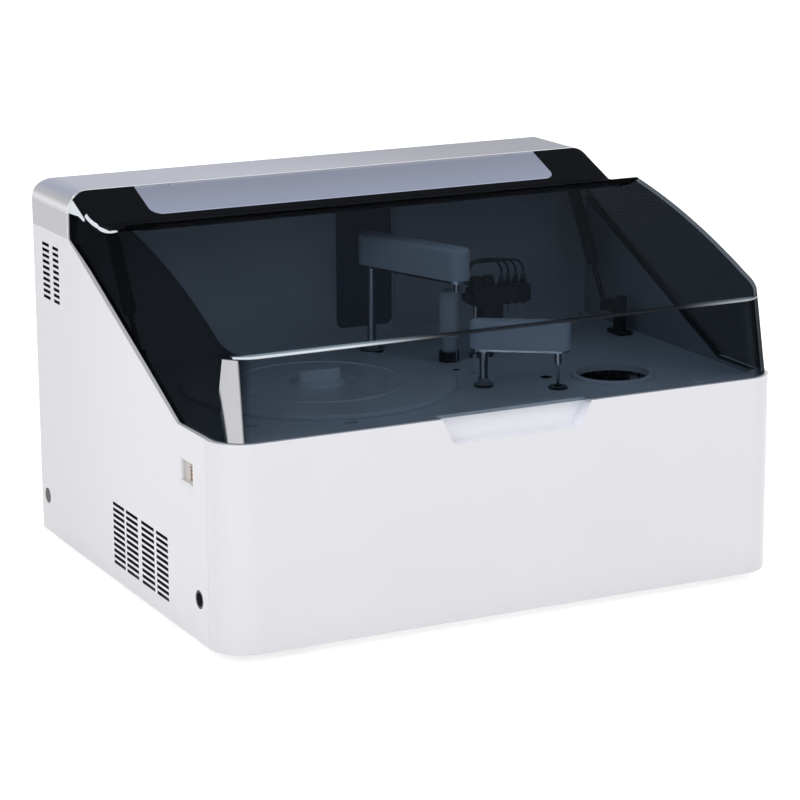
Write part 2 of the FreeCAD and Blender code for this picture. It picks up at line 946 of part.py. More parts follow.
def lid_profile(step, ahead, low):
    """Side view of the space under the lid's upper surface, lowered by a step."""
    corners = lid_corners(step)
    ridge = corners[-1]
    back = corners[0][0]
    centre_y, centre_z, radius = lid_bow_circle()
    end_y = front_y - ahead
    end_z = centre_z + math.sqrt((radius - step) ** 2 - (end_y - centre_y) ** 2)
    middle_y = (ridge[0] + end_y) / 2
    middle_z = centre_z + math.sqrt((radius - step) ** 2 - (middle_y - centre_y) ** 2)
    spots = [Vector(0, y, z) for y, z in corners]
    end = Vector(0, end_y, end_z)
    edges = [Part.LineSegment(a, b).toShape() for a, b in zip(spots, spots[1:])]
    edges.append(Part.Arc(spots[-1], Vector(0, middle_y, middle_z), end).toShape())
    floor_front = Vector(0, end_y, low)
    floor_back = Vector(0, back, low)
    for a, b in ((end, floor_front), (floor_front, floor_back), (floor_back, spots[0])):
        edges.append(Part.LineSegment(a, b).toShape())
    return Part.Face(Part.Wire(edges))


def lid_half(y, z, step):
    """Half width of the lid at a place along it and a height, moved inward by a step."""
    ridge_y = lid_line()[-1][0]
    bend_y = front_y + lid_bend_from_front
    if y >= ridge_y:
        share = (y - ridge_y) / (hinge_y - ridge_y)
        low = lid_low_half_middle + (lid_low_half_back - lid_low_half_middle) * share
        top = lid_top_half_middle + (lid_top_half_back - lid_top_half_middle) * share
    else:
        share = (ridge_y - max(y, bend_y)) / (ridge_y - bend_y)
        low = lid_low_half_middle + (lid_low_half_front - lid_low_half_middle) * share
        top = lid_top_half_middle + (lid_top_half_front - lid_top_half_middle) * share
    rise = (z - lid_low_level) / (hood_top - lid_low_level)
    return low + (top - low) * rise - step


def lid_plan(z, step):
    """Plan of the lid in front of its ridge at a height."""
    rise = (z - lid_low_level) / (hood_top - lid_low_level)
    ridge_y = lid_corners(step)[-1][0]
    bend_y = front_y + lid_bend_from_front
    head_y = front_y + lid_front_lean * rise + step
    corner = lid_low_corner_radius + (lid_top_corner_radius - lid_low_corner_radius) * rise - step
    back = lid_half(ridge_y, z, step)
    front = lid_half(bend_y, z, step)
    points = [(-front, head_y), (front, head_y), (front, bend_y), (back, ridge_y), (-back, ridge_y),
              (-front, bend_y)]
    return outline([Vector(x, y, z) for x, y in points], [corner, corner, 0, 0, 0, 0])


def lid_section(y, top, radius, step):
    """Cross section of the lid behind its ridge."""
    low = lid_low_level
    points = [
        Vector(-lid_half(y, low, step), y, low),
        Vector(lid_half(y, low, step), y, low),
        Vector(lid_half(y, top, step), y, top),
        Vector(-lid_half(y, top, step), y, top),
    ]
    return outline(points, [0, 0, radius, radius])


def lid_form(step):
    """Closed form of the lid, moved inward by a step."""
    plans = Part.makeLoft([lid_plan(lid_low_level, step), lid_plan(hood_top, step)], True, True)
    profile = lid_profile(step, overrun * 2, lid_low_level).translated(Vector(-width, 0, 0))
    front = plans.common(profile.extrude(Vector(width * 2, 0, 0)))
    front = rounded_creases(front, step)
    radii = (lid_back_radius, lid_valley_radius, lid_valley_radius * 2 / 3, lid_crease_radius)
    sections = []
    drops = (0, 0, 0, 0 if step else lid_ridge_line)
    for (y, z), radius, drop in zip(lid_corners(step), radii, drops):
        sections.append(lid_section(y, z - drop, max(radius - step, lid_crease_radius / 4), step + drop))
    back = Part.makeLoft(sections, True, True)
    return front, back


def rounded_creases(form, step):
    """Front form with its knee and side creases rounded."""
    ridge_y = lid_line()[-1][0]
    knee_z = lid_line()[-1][1] - lid_knee_drop
    knees, creases = [], []
    for edge in form.Edges:
        bounds = edge.BoundBox
        if bounds.ZMin < knee_z - lid_wall * 3 or bounds.YMin > ridge_y - overrun:
            continue
        if bounds.XMin * bounds.XMax < 0:
            knees.append(edge)
        else:
            creases.append(edge)
    return form.makeFillet(max(lid_crease_radius - step / 2, fillet_small), knees + creases)


def above_seat():
    """Space over the sloping seat of the lid."""
    points = [
        (front_y - overrun, side_level),
        (slope_foot_y, side_level),
        (slope_top_y, skirt_level),
        (back_y, skirt_level),
        (back_y, hood_top + overrun),
        (front_y - overrun, hood_top + overrun),
    ]
    points = inset(points, [lid_seat_gap, lid_seat_gap, lid_seat_gap, 0, 0, 0])
    return prism_x(points, [0, slope_bend_radius, 0, 0, 0, 0], -width, width)


def hinge_places():
    """Middle of each hinge along the lid's back edge."""
    return (-hinge_x, hinge_x)


def hinge_bar(radius, x, length):
    """Round bar on the hinge axis, with its middle at x."""
    return bar(radius, Vector(x - length / 2, hinge_y, hinge_z), Vector(x + length / 2, hinge_y, hinge_z))


def top_plate_prism():
    """Band under the lid's rear slope where the metal-coloured plate lies."""
    back = hinge_y - hinge_bead_radius - fillet_small / 2
    plan = rectangle(-top_plate_half, top_plate_half, back - top_plate_length, back)
    corner = top_plate_corner
    column = prism_z(plan, [corner, corner, fillet_small, fillet_small], lid_low_level, hood_top + overrun)
    under = lid_profile(top_plate_sheet, overrun * 2, lid_low_level).translated(Vector(-width, 0, 0))
    return column.cut(under.extrude(Vector(width * 2, 0, 0)))


def lid_top_plate():
    """Plate let into the rear slope of the lid, flush with its surface."""
    under = lid_profile(0, overrun * 2, lid_low_level).translated(Vector(-width, 0, 0))
    return top_plate_prism().common(under.extrude(Vector(width * 2, 0, 0)))


def lid_shell():
    """Tinted lid: a curved shell with a bead along its back edge for the hinge pins."""
    front, back = lid_form(0)
    shell = front.fuse(back)
    front, back = lid_form(lid_wall)
    past = lid_half(hinge_y, hood_top, lid_wall) - hood_side_radius
    mouth = box(-past, past, hinge_y - fillet_small, hinge_y + overrun, lid_low_level,
                hinge_z - hinge_bead_radius)
    shell = shell.cut(front).cut(back).cut(mouth).common(above_seat())
    shell = shell.fuse(hinge_bar(hinge_bead_radius, 0, bead_half_length * 2))
    cuts = [top_plate_prism()]
    for x in hinge_places():
        half = hinge_knuckle_width / 2 + hinge_side_gap
        reach = hinge_relief_radius
        cuts.append(box(x - half, x + half, hinge_y - reach, hinge_y + overrun, hinge_z - overrun,
                        hood_top + overrun))
        cuts.append(hinge_bar(hinge_pin_radius + hinge_running_gap, x, hinge_pin_length + hinge_side_gap))
    return shell.cut(group(cuts)).removeSplitter()


def hinge_brackets():
    """Hinge leaves under the hood's upper sheet, each with a knuckle on the hinge axis."""
    leaves = []
    for x in hinge_places():
        half = hinge_knuckle_width / 2
        knuckle = hinge_bar(hinge_bead_radius, x, hinge_knuckle_width)
        z1 = hood_top - hood_wall
        y1 = hood_front_y + hinge_leaf_length
        leaf = box(x - half, x + half, hinge_y, y1, z1 - hinge_leaf_thickness, z1)
        foot = box(x - half * 2, x + half * 2, y1 - hinge_knuckle_width, y1, z1 - hinge_leaf_thickness, z1)
        bracket = knuckle.fuse(leaf).fuse(foot)
        leaves.append(bracket.cut(hinge_bar(hinge_pin_radius, x, hinge_knuckle_width)).removeSplitter())
    return group(leaves)


def hinge_pins():
    """Steel pins pressed into the knuckles."""
    return group([hinge_bar(hinge_pin_radius, x, hinge_pin_length) for x in hinge_places()])


def lid_rear_band():
    """Opaque backing sheet under the lid from its ridge to its back edge."""
    outer = lid_profile(lid_wall, overrun * 2, lid_low_level).translated(Vector(-band_half, 0, 0))
    inner = lid_profile(lid_wall + band_sheet, overrun * 2, lid_low_level).translated(Vector(-width, 0, 0))
    sheet = outer.extrude(Vector(band_half * 2, 0, 0)).cut(inner.extrude(Vector(width * 2, 0, 0)))
    ridge_y = lid_line()[-1][0]
    return sheet.common(box(-width, width, ridge_y - band_past_ridge, hinge_y - band_back_gap,
                            lid_low_level, hood_top))


def strut_top():
    """Upper pivot of the right gas strut with the lid closed."""
    return Vector(strut_x, hinge_y - strut_top_before_hinge, hinge_z - strut_top_below_hinge)


def strut_foot():
    """Lower pivot of the right gas strut."""
    return Vector(strut_x, strut_foot_y, deck_top + strut_foot_above_deck)


def strut_way():
    """Direction from the lower pivot to the upper one."""
    return (strut_top() - strut_foot()).normalize()


def cross_pin(radius, spot, x0, x1):
    """Pin across the strut at a pivot."""
    return bar(radius, Vector(x0, spot.y, spot.z), Vector(x1, spot.y, spot.z))


def lid_lug():
    """Lug under the lid for the right gas strut, with its pin."""
    pivot = strut_top()
    half = strut_eye_width / 2
    x0 = strut_x + strut_cylinder_radius + strut_side_gap
    x1 = x0 + strut_plate
    points = rectangle(pivot.y - lug_length / 2, pivot.y + lug_length / 2, pivot.z - lug_below_pin, hood_top)
    corner = lug_below_pin - fillet_small
    plate = prism_x(points, [corner, corner, 0, 0], x0, x1)
    under = lid_profile(lid_wall, overrun * 2, lid_low_level)
    plate = plate.common(under.extrude(Vector(width, 0, 0)))
    pin = cross_pin(strut_pin_radius, pivot, strut_x - half - strut_side_gap, x0)
    return plate.fuse(pin)


def strut_post():
    """Post on the deck for the right gas strut: a foot, an upright with a bent arm, and its pin."""
    pivot = strut_foot()
    half = strut_eye_width / 2
    x0 = strut_x + half + strut_side_gap
    x1 = x0 + strut_plate * 2
    y1 = pivot.y - post_from_pivot + post_length / 2
    y0 = y1 - post_length
    low = deck_top + post_foot_height
    top = deck_top + post_above_deck
    reach = strut_foot_eye_radius + fillet_small
    points = [(y0, low), (y1, low), (y1, pivot.z - reach), (pivot.y + reach, pivot.z - reach),
              (pivot.y + reach, pivot.z + reach), (y1, pivot.z + reach),
              (y0 + post_length / 2, top), (y0, top)]
    upright = prism_x(points, [0, 0, 0, reach - fillet_small, reach - fillet_small, 0, fillet_small,
                               fillet_middle], x0, x1)
    middle = (y0 + y1) / 2
    plan = rectangle((x0 + x1 - post_foot_width) / 2, (x0 + x1 + post_foot_width) / 2,
                     middle - post_foot_length / 2, middle + post_foot_length / 2)
    foot = prism_z(plan, post_foot_height, deck_top, low)
    pin = cross_pin(strut_foot_pin_radius, pivot, strut_x - half - strut_side_gap, x0)
    return fused([upright, foot, pin])


def strut_rod():
    """Slim lower rod of the right gas strut with its lower eye."""
    pivot = strut_foot()
    way = strut_way()
    half = strut_eye_width / 2
    eye = cross_pin(strut_foot_eye_radius, pivot, strut_x - half, strut_x + half)
    rod = bar(strut_rod_radius, pivot, pivot + way * strut_rod_length)
    bore = cross_pin(strut_foot_pin_radius + strut_running_gap, pivot, strut_x - strut_eye_width,
                     strut_x + strut_eye_width)
    return eye.fuse(rod).removeSplitter().cut(bore)


def strut_cylinder():
    """Thick upper cylinder of the right gas strut, bored for the rod, with its upper eye."""
    pivot = strut_foot()
    top = strut_top()
    way = strut_way()
    half = strut_eye_width / 2
    length = (top - pivot).Length
    start = pivot + way * strut_cylinder_start
    end = pivot + way * (length - strut_eye_radius - strut_plate)
    barrel = bar(strut_cylinder_radius, start, end)
    barrel = barrel.makeChamfer(fillet_small, barrel.Edges)
    neck = bar(strut_rod_radius, end - way * strut_plate, top)
    eye = cross_pin(strut_eye_radius, top, strut_x - half, strut_x + half)
    bore = bar(strut_rod_radius + strut_running_gap, pivot, pivot + way * (strut_rod_length + strut_plate))
    hole = cross_pin(strut_eye_bore, top, strut_x - strut_eye_width, strut_x + strut_eye_width)
    return fused([barrel, neck, eye]).cut(bore).cut(hole)


def reagent_tub():
    """Round tub under the deck with a bearing in its floor."""
    outer = post(tub_radius + tub_wall, reagent_x, reagent_y, tub_low, deck_under)
    inner = post(tub_radius, reagent_x, reagent_y, tub_low + tub_floor, deck_top)
    bearing = post(bearing_radius, reagent_x, reagent_y, tub_low + tub_floor, tub_low + carousel_above_floor)
    bore = post(carousel_shaft_radius + bearing_gap, reagent_x, reagent_y, tub_low - overrun, deck_top)
    return outer.cut(inner).fuse(bearing).cut(bore)


def carousel_motor():
    """Drive under the tub."""
    half = carousel_motor_size / 2
    top = tub_low - fillet_small
    body = prism_z(rectangle(reagent_x - half, reagent_x + half, reagent_y - half, reagent_y + half),
                   corner_round, top - carousel_motor_height, top)
    flange = post(half, reagent_x, reagent_y, top, tub_low)
    bore = post(carousel_shaft_radius + bearing_gap, reagent_x, reagent_y, top - bearing_length, tub_low)
    return body.fuse(flange).cut(bore)


def carousel():
    """Turning tray: a plate, a hub, an upright rim and the drive shaft."""
    low = tub_low + carousel_above_floor + fillet_small / 2
    shaft_low = tub_low - bearing_length + fillet_small
    top = low + carousel_plate
    plate = post(carousel_radius, reagent_x, reagent_y, low, top)
    hub = post(carousel_hub_radius, reagent_x, reagent_y, top, top + carousel_hub_height)
    hub = hub.makeFillet(fillet_large, [hub.Edges[0]])
    shaft = post(carousel_shaft_radius, reagent_x, reagent_y, shaft_low, low)
    return fused([plate, hub, shaft])


def bottles():
    """Ring of wedge-shaped reagent bottles with open necks."""
    low = tub_low + carousel_above_floor + fillet_small / 2 + carousel_plate
    near = bottle_ring_radius - bottle_length / 2
    far = bottle_ring_radius + bottle_length / 2 - bottle_side_gap * 2
    half_far = bottle_width / 2
    half_near = half_far * near / far
    plan = [(near, -half_near), (far, -half_far), (far, half_far), (near, half_near)]
    body = prism_z(plan, bottle_seat, low, low + bottle_height)
    top = low + bottle_height
    body = body.cut(post(bottle_neck_radius, bottle_ring_radius, 0, top - bottle_fill_depth, top + overrun))
    start = math.degrees(math.atan2(probe_tip(probe_swing_to_bottles)[1] - reagent_y,
                                    probe_tip(probe_swing_to_bottles)[0] - reagent_x))
    ring = []
    for index in range(bottle_count):
        bottle = body.copy()
        bottle.rotate(Vector(0, 0, 0), Vector(0, 0, 1),
                      start + math.degrees(math.pi * 2) / bottle_count * index)
        bottle.translate(Vector(reagent_x, reagent_y, 0))
        ring.append(bottle)
    return group(ring)


def carousel_cover():
    """Round cover over the tub with a skirt, a rib ring, a dished middle and a needle hole."""
    low = deck_top + cover_gap
    top = low + cover_height
    disc = post(cover_radius, reagent_x, reagent_y, low, top)
    disc = disc.makeFillet(fillet_small, [disc.Edges[0]])
    hollow = post(tub_radius + small_step, reagent_x, reagent_y, low - overrun, top - cover_sheet)
    rib = post(cover_rib_radius + cover_rib_width, reagent_x, reagent_y, top, top + cover_rib_height)
    rib = rib.cut(post(cover_rib_radius, reagent_x, reagent_y, low, top + overrun))
    dish = post(grip_dish_radius, reagent_x, reagent_y, top - grip_dish_depth, top + overrun)
    hole = post(cover_hole_radius, *probe_tip(probe_swing_to_bottles), low - overrun, top + overrun)
    return disc.cut(hollow).fuse(rib).cut(dish).cut(hole)


def carousel_grip():
    """Grip on the cover: a round foot and an upright bar to hold."""
    low = deck_top + cover_gap + cover_height - grip_dish_depth
    foot = post(grip_radius, reagent_x, reagent_y, low, low + grip_foot_height)
    foot = foot.makeFillet(fillet_middle, [foot.Edges[0]])
    points = rectangle(reagent_x - grip_length / 2, reagent_x + grip_length / 2,
                       reagent_y - grip_width / 2, reagent_y + grip_width / 2)
    handle = prism_z(points, grip_width / 2 - fillet_small, low + grip_foot_height, low + grip_height)
    rim = [edge for edge in handle.Edges if edge.BoundBox.ZMin > low + grip_height - fillet_small]
    return foot.fuse(handle.makeFillet(fillet_middle, rim)).removeSplitter()


def ring_bowl():
    """Bowl under the deck for the cuvette ring, with a bearing in its floor."""
    outer = post(bowl_radius + bowl_wall, ring_x, ring_y, bowl_low, deck_under)
    inner = post(bowl_radius, ring_x, ring_y, bowl_low + bowl_floor, deck_top)
    bearing = post(bearing_radius, ring_x, ring_y, bowl_low + bowl_floor, bowl_low + ring_above_floor)
    bore = post(ring_shaft_radius + bearing_gap, ring_x, ring_y, bowl_low - overrun, deck_top)
    port_x1 = ring_x + bowl_radius + bowl_wall + overrun
    middle = bowl_low + lamp_above_floor + lamp_height / 2
    port = bar(port_barb_radius, Vector(ring_x, ring_y, middle), Vector(port_x1, ring_y, middle))
    return outer.cut(inner).fuse(bearing).cut(bore).cut(port)


def cuvette_low():
    """Height of the cuvettes' floor."""
    return deck_under - cuvette_below_deck - cuvette_height


def cuvette_ring():
    """Turning ring: hub, web, channel that holds the cuvettes, and the drive shaft."""
    low = bowl_low + ring_above_floor + fillet_small / 2
    seat = cuvette_low()
    inner = cuvette_ring_radius - ring_channel_width / 2
    outer = cuvette_ring_radius + ring_channel_width / 2 - fillet_small
    hub = post(ring_hub_radius, ring_x, ring_y, low, low + ring_hub_height)
    web = post(outer, ring_x, ring_y, seat - ring_web_sheet, seat)
    middle = (ring_hub_radius + inner) / 2
    windows = [post(ring_channel_width, *polar(ring_x, ring_y, middle, turn), low, deck_top)
               for turn in ring_window_angles()]
    web = web.cut(group(windows))
    inner_lip = post(inner + fillet_small, ring_x, ring_y, seat, seat + ring_channel_height)
    inner_lip = inner_lip.cut(post(inner - fillet_small, ring_x, ring_y, low, deck_top))
    outer_lip = post(outer, ring_x, ring_y, seat, seat + ring_channel_height)
    outer_lip = outer_lip.cut(post(outer - fillet_small, ring_x, ring_y, low, deck_top))
    shaft = post(ring_shaft_radius, ring_x, ring_y, bowl_low - bearing_length + fillet_small, low)
    column = post(ring_hub_radius - ring_web_sheet, ring_x, ring_y, low, seat)
    return fused([hub, column, web, inner_lip, outer_lip, shaft])


def ring_window_angles():
    """Angles of the round windows in the ring's web, clear of the knob."""
    step = math.degrees(math.pi * 2) / 6
    return [ring_knob_angle + step * (index + 1) for index in range(5)]


def cuvettes():
    """Ring of small square cups."""
    half = cuvette_length / 2
    side = cuvette_width / 2
    low = cuvette_low()
    cup = box(cuvette_ring_radius - half, cuvette_ring_radius + half, -side, side, low, low + cuvette_height)
    cup = cup.cut(box(cuvette_ring_radius - half + cuvette_wall, cuvette_ring_radius + half - cuvette_wall,
                      cuvette_wall - side, side - cuvette_wall, low + cuvette_floor, deck_top))
    ring = []
    for index in range(cuvette_count):
        copy = cup.copy()
        copy.rotate(Vector(0, 0, 0), Vector(0, 0, 1),
                    ring_start() + math.degrees(math.pi * 2) / cuvette_count * index)
        copy.translate(Vector(ring_x, ring_y, 0))
        ring.append(copy)
    return group(ring)


def ring_knob():
    """Fluted knob that clamps the ring."""
    x, y = polar(ring_x, ring_y, ring_knob_from_axis, ring_knob_angle)
    low = cuvette_low()
    knob = post(ring_knob_radius, x, y, low, low + ring_knob_height)
    knob = knob.makeFillet(fillet_middle, [knob.Edges[0]])
    step = math.degrees(math.pi * 2) / ring_knob_flute_count
    flutes = []
    for index in range(ring_knob_flute_count):
        place = polar(x, y, ring_knob_radius, step * index)
        flutes.append(post(ring_knob_flute_radius, *place, low + small_step, deck_top))
    return knob.cut(group(flutes))


def ring_rim():
    """Raised rim round the viewing hole."""
    rim = post(viewing_hole_radius + viewing_rim_width, viewing_hole_x, viewing_hole_y, deck_top,
               deck_top + viewing_rim_height)
    rim = rim.makeFillet(fillet_middle, [rim.Edges[0]])
    return rim.cut(post(viewing_hole_radius, viewing_hole_x, viewing_hole_y, deck_under,
                        deck_top + viewing_rim_height + overrun))


def ring_motor():
    """Drive under the bowl."""
    half = carousel_motor_size / 2
    top = bowl_low
    body = prism_z(rectangle(ring_x - half, ring_x + half, ring_y - half, ring_y + half), corner_round,
                   top - carousel_motor_height, top)
    return body.cut(post(ring_shaft_radius + bearing_gap, ring_x, ring_y, top - bearing_length,
                         top + overrun))


def collar(x, y, radius, height, shaft_radius):
    """Stepped collar on the deck round a shaft."""
    low = post(radius, x, y, deck_top, deck_top + height / 3)
    high = post(radius - corner_round, x, y, deck_top + height / 3, deck_top + height)
    high = high.makeFillet(fillet_small, [high.Edges[0]])
    return low.fuse(high).removeSplitter().cut(post(shaft_radius + lift_running_gap, x, y, deck_under,
                                                    deck_top + height + overrun))


def well(x, y, radius, bore, depth, floor_height):
    """Washing well that hangs under the deck."""
    low = deck_under - depth
    cup = post(radius, x, y, low, deck_top)
    return cup.cut(post(bore, x, y, low + floor_height, deck_top + overrun))


def probe_well():
    """Washing well under the needle at rest."""
    return well(*probe_tip(0), probe_well_radius, probe_well_bore, probe_well_depth, tub_floor)


def mixer_well():
    """Washing well that the stirrer swings over."""
    return well(*mixer_tip(mixer_swing_to_well), mixer_well_radius, mixer_well_bore,
                mixer_well_depth, tub_wall)


def mixer_guard():
    """Dark ring round the hole under the stirrer."""
    x, y = mixer_tip(0)
    ring = post(mixer_guard_radius, x, y, deck_top, deck_top + mixer_guard_height)
    ring = ring.makeFillet(fillet_small, [ring.Edges[0]])
    return ring.cut(post(mixer_guard_bore, x, y, deck_under, deck_top + mixer_guard_height + overrun))


def turned(shape, x, y, angle):
    """Shape drawn along +X from (0, 0), turned and set at a shaft."""
    shape.rotate(Vector(0, 0, 0), Vector(0, 0, 1), angle)
    shape.translate(Vector(x, y, 0))
    return shape


def arm_block(back, front, side, low, high, round_top):
    """Arm housing along +X with rounded ends and a rounded upper edge."""
    corner = side - fillet_small / 2
    block = prism_z(rectangle(-back, front, -side, side), [corner] * 4, low, high)
    rim = [edge for edge in block.Edges if edge.BoundBox.ZMin > high - fillet_small]
    return block.makeFillet(round_top, rim)


def probe_arm():
    """Housing of the sampling arm."""
    low = deck_top + probe_arm_above_deck + probe_sole_height
    block = arm_block(probe_arm_back, probe_reach + probe_arm_front, probe_arm_width / 2, low,
                      low + probe_arm_height - probe_sole_height, probe_arm_round)
    return turned(block, probe_x, probe_y, probe_angle)


def probe_sole():
    """Sole plate of the sampling arm, pressed on the shaft."""
    low = deck_top + probe_arm_above_deck
    side = probe_arm_width / 2 - fillet_small
    back = probe_arm_back - fillet_small
    front = probe_reach + probe_arm_front - fillet_small
    sole = prism_z(rectangle(-back, front, -side, side), [side - fillet_small] * 4, low,
                   low + probe_sole_height)
    boss = post(probe_shaft_radius + tub_wall, 0, 0, low - probe_sole_height, low)
    guide = post(probe_needle_guide_radius, probe_reach, 0, low - probe_needle_guide_length, low)
    sole = fused([sole, boss, guide]).cut(post(probe_shaft_radius, 0, 0, low - overrun, low + overrun))
    sole = sole.cut(post(probe_needle_radius, probe_reach, 0,
                         low - probe_needle_guide_length - overrun, low + overrun))
    return turned(sole, probe_x, probe_y, probe_angle)


def probe_shaft():
    """Shaft of the sampling arm."""
    low = deck_under - probe_shaft_below_deck
    return post(probe_shaft_radius, probe_x, probe_y, low,
                deck_top + probe_arm_above_deck + probe_sole_height)


def probe_needle():
    """Sampling needle with a tapered tip."""
    x, y = probe_tip(0)
    low = deck_top + probe_needle_above_deck
    top = deck_top + probe_arm_above_deck + probe_sole_height
    taper = probe_needle_radius * 4
    tip = Part.makeCone(probe_needle_radius / 2, probe_needle_radius, taper, Vector(x, y, low))
    return tip.fuse(post(probe_needle_radius, x, y, low + taper, top)).removeSplitter()


def mixer_arm():
    """Housing of the stirring arm."""
    low = deck_top + mixer_arm_above_deck + mixer_sole_height
    block = arm_block(mixer_arm_back, mixer_reach + mixer_arm_front, mixer_arm_width / 2, low,
                      low + mixer_arm_height - mixer_sole_height, mixer_arm_round)
    return turned(block, mixer_x, mixer_y, mixer_angle)


def mixer_sole():
    """Sole plate of the stirring arm, pressed on the shaft, with the stirrer's bearing."""
    low = deck_top + mixer_arm_above_deck
    side = mixer_arm_width / 2 - fillet_small
    back = mixer_arm_back - fillet_small
    front = mixer_reach + mixer_arm_front - fillet_small
    sole = prism_z(rectangle(-back, front, -side, side), [side - fillet_small] * 4, low,
                   low + mixer_sole_height)
    boss = post(mixer_shaft_radius + tub_wall, 0, 0, low - mixer_sole_height, low)
    sole = sole.fuse(boss).cut(post(mixer_shaft_radius, 0, 0, low - overrun, low + overrun))
    sole = sole.cut(post(mixer_spindle_radius + bearing_gap, mixer_reach, 0, low - overrun, low + overrun))
    return turned(sole, mixer_x, mixer_y, mixer_angle)


def mixer_shaft():
    """Shaft of the stirring arm."""
    low = deck_under - mixer_shaft_below_deck
    return post(mixer_shaft_radius, mixer_x, mixer_y, low,
                deck_top + mixer_arm_above_deck + mixer_sole_height)


def stirrer():
    """Spindle, rod and flat paddle of the stirrer."""
    x, y = mixer_tip(0)
    arm_low = deck_top + mixer_arm_above_deck
    low = deck_top + mixer_rod_above_deck
    spindle = post(mixer_spindle_radius, x, y, arm_low - mixer_spindle_length, arm_low + mixer_sole_height)
    rod = post(mixer_rod_radius, x, y, low + mixer_paddle_length / 2, arm_low)
    half = mixer_paddle_width / 2
    paddle = box(x - half, x + half, y - mixer_rod_radius / 3, y + mixer_rod_radius / 3, low,
                 low + mixer_paddle_length)
    return fused([spindle, rod, paddle])


def lift_block(x, y, shaft_radius, shaft_low, angle):
    """Sliding block that carries a shaft's lower end and runs on two guide rods."""
    side = lift_block_width / 2
    low = shaft_low + fillet_small
    block = prism_z(rectangle(-lift_block_back, side, -side, side), fillet_middle, low,
                    low + lift_block_height)
    cuts = [post(shaft_radius + bearing_gap, 0, 0, low - overrun, low + lift_block_height + overrun)]
    for rod_y in (-lift_rod_spacing / 2, lift_rod_spacing / 2):
        cuts.append(post(lift_rod_radius + lift_running_gap, -lift_rod_back, rod_y, low - overrun,
                         deck_under))
    return turned(block.cut(group(cuts)), x, y, angle)


def lift_rods(x, y, angle):
    """Pair of guide rods from the tray to the deck."""
    rods = [post(lift_rod_radius, -lift_rod_back, rod_y, tray_top, deck_under)
            for rod_y in (-lift_rod_spacing / 2, lift_rod_spacing / 2)]
    return turned(group(rods), x, y, angle)


def lift_motor(x, y, angle):
    """Lift drive on the tray behind the guide rods."""
    near = -lift_block_back - lift_motor_wall_gap
    half = lift_motor_size / 2
    body = prism_z(rectangle(near - lift_motor_size, near, -half, half), fillet_large, tray_top,
                   tray_top + lift_motor_height)
    pulley = post(half / 2, near - half, 0, tray_top + lift_motor_height,
                  tray_top + lift_motor_height + overrun)
    return turned(body.fuse(pulley).removeSplitter(), x, y, angle)


def wash_block():
    """Washing head: a black block with a lower shoulder, bored for its two guide posts."""
    low = deck_top + wash_above_deck
    top = low + wash_height
    head = prism_z(rectangle(wash_left, wash_right, wash_front, wash_back), wash_block_round, low, top)
    points = wash_points()
    shoulder = box(points[0][0] - wash_shoulder_drop, wash_right - wash_block_round,
                   wash_front + wash_block_round, wash_back - wash_block_round,
                   low - wash_shoulder_drop, low)
    half = wash_clip_depth / 2
    clip = box(wash_left - wash_clip_height, wash_left, wash_post_y - half, wash_post_y + half,
               top - wash_clip_height, top)
    cuts = [post(wash_post_radius + lift_running_gap, x, wash_post_y, low - overrun, top + overrun)
            for x in wash_post_x]
    for x, y in points:
        cuts.append(post(wash_needle_radius, x, y, low - wash_shoulder_drop - overrun, top + overrun))
    return fused([head, shoulder, clip]).cut(group(cuts))


def wash_needles_group():
    """Washing needles, pressed through the head, with nozzles on top."""
    low = deck_top + wash_needle_above_deck
    top = deck_top + wash_above_deck + wash_height
    parts = []
    for x, y in wash_points():
        needle = post(wash_needle_radius, x, y, low, top)
        parts.append(needle.fuse(post(wash_nozzle_radius, x, y, top,
                                      top + wash_nozzle_height)).removeSplitter())
    return group(parts)


def wash_knob():
    """Knurled nut on top of the washing head."""
    x = (wash_post_x[0] + wash_post_x[1]) / 2
    y = wash_front + wash_knob_radius
    top = deck_top + wash_above_deck + wash_height
    knob = post(wash_knob_radius / 2, x, y, top, top + wash_knob_height).fuse(
        post(wash_knob_radius, x, y, top + wash_knob_height / 3, top + wash_knob_height))
    return knob.removeSplitter()


def wash_tubes():
    """Thin hoses that arch from the nozzles down to the clip at the side of the head."""
    top = deck_top + wash_above_deck + wash_height
    hoses = []
    for index, (x, y) in enumerate(wash_points()):
        start = Vector(x, y, top + wash_nozzle_height)
        end = Vector(wash_left - wash_clip_height / 2, y + (index - 1) * wash_tube_radius * 2, top)
        rise = wash_tube_rise - index * wash_tube_radius
        crest = top + wash_nozzle_height + rise
        points = [start, Vector(start.x, start.y, crest), Vector(end.x, end.y, crest), end]
        edges = []
        radius = rise - wash_tube_radius * 2
        here = start
        for before, corner, after in zip(points, points[1:], points[2:]):
            back = (before - corner).normalize()
            ahead = (after - corner).normalize()
            middle = corner + (back + ahead).normalize() * (radius * arc_sag_share)
            edges.append(Part.LineSegment(here, corner + back * radius).toShape())
            edges.append(Part.Arc(corner + back * radius, middle, corner + ahead * radius).toShape())
            here = corner + ahead * radius
        edges.append(Part.LineSegment(here, end).toShape())
        path = Part.Wire(edges)
        ring = Part.Wire([Part.makeCircle(wash_tube_radius, start, Vector(0, 0, 1))])
        hoses.append(path.makePipeShell([ring], True, True))
    return group(hoses)


def wash_posts():
    """Two guide posts of the washing head with round feet."""
    top = deck_top + wash_above_deck + wash_height + wash_post_above_head
    parts = []
    for x in wash_post_x:
        foot = post(wash_post_foot_radius, x, wash_post_y, deck_top, deck_top + wash_post_foot_height)
        parts.append(foot.fuse(post(wash_post_radius, x, wash_post_y, deck_top, top)).removeSplitter())
    return group(parts)


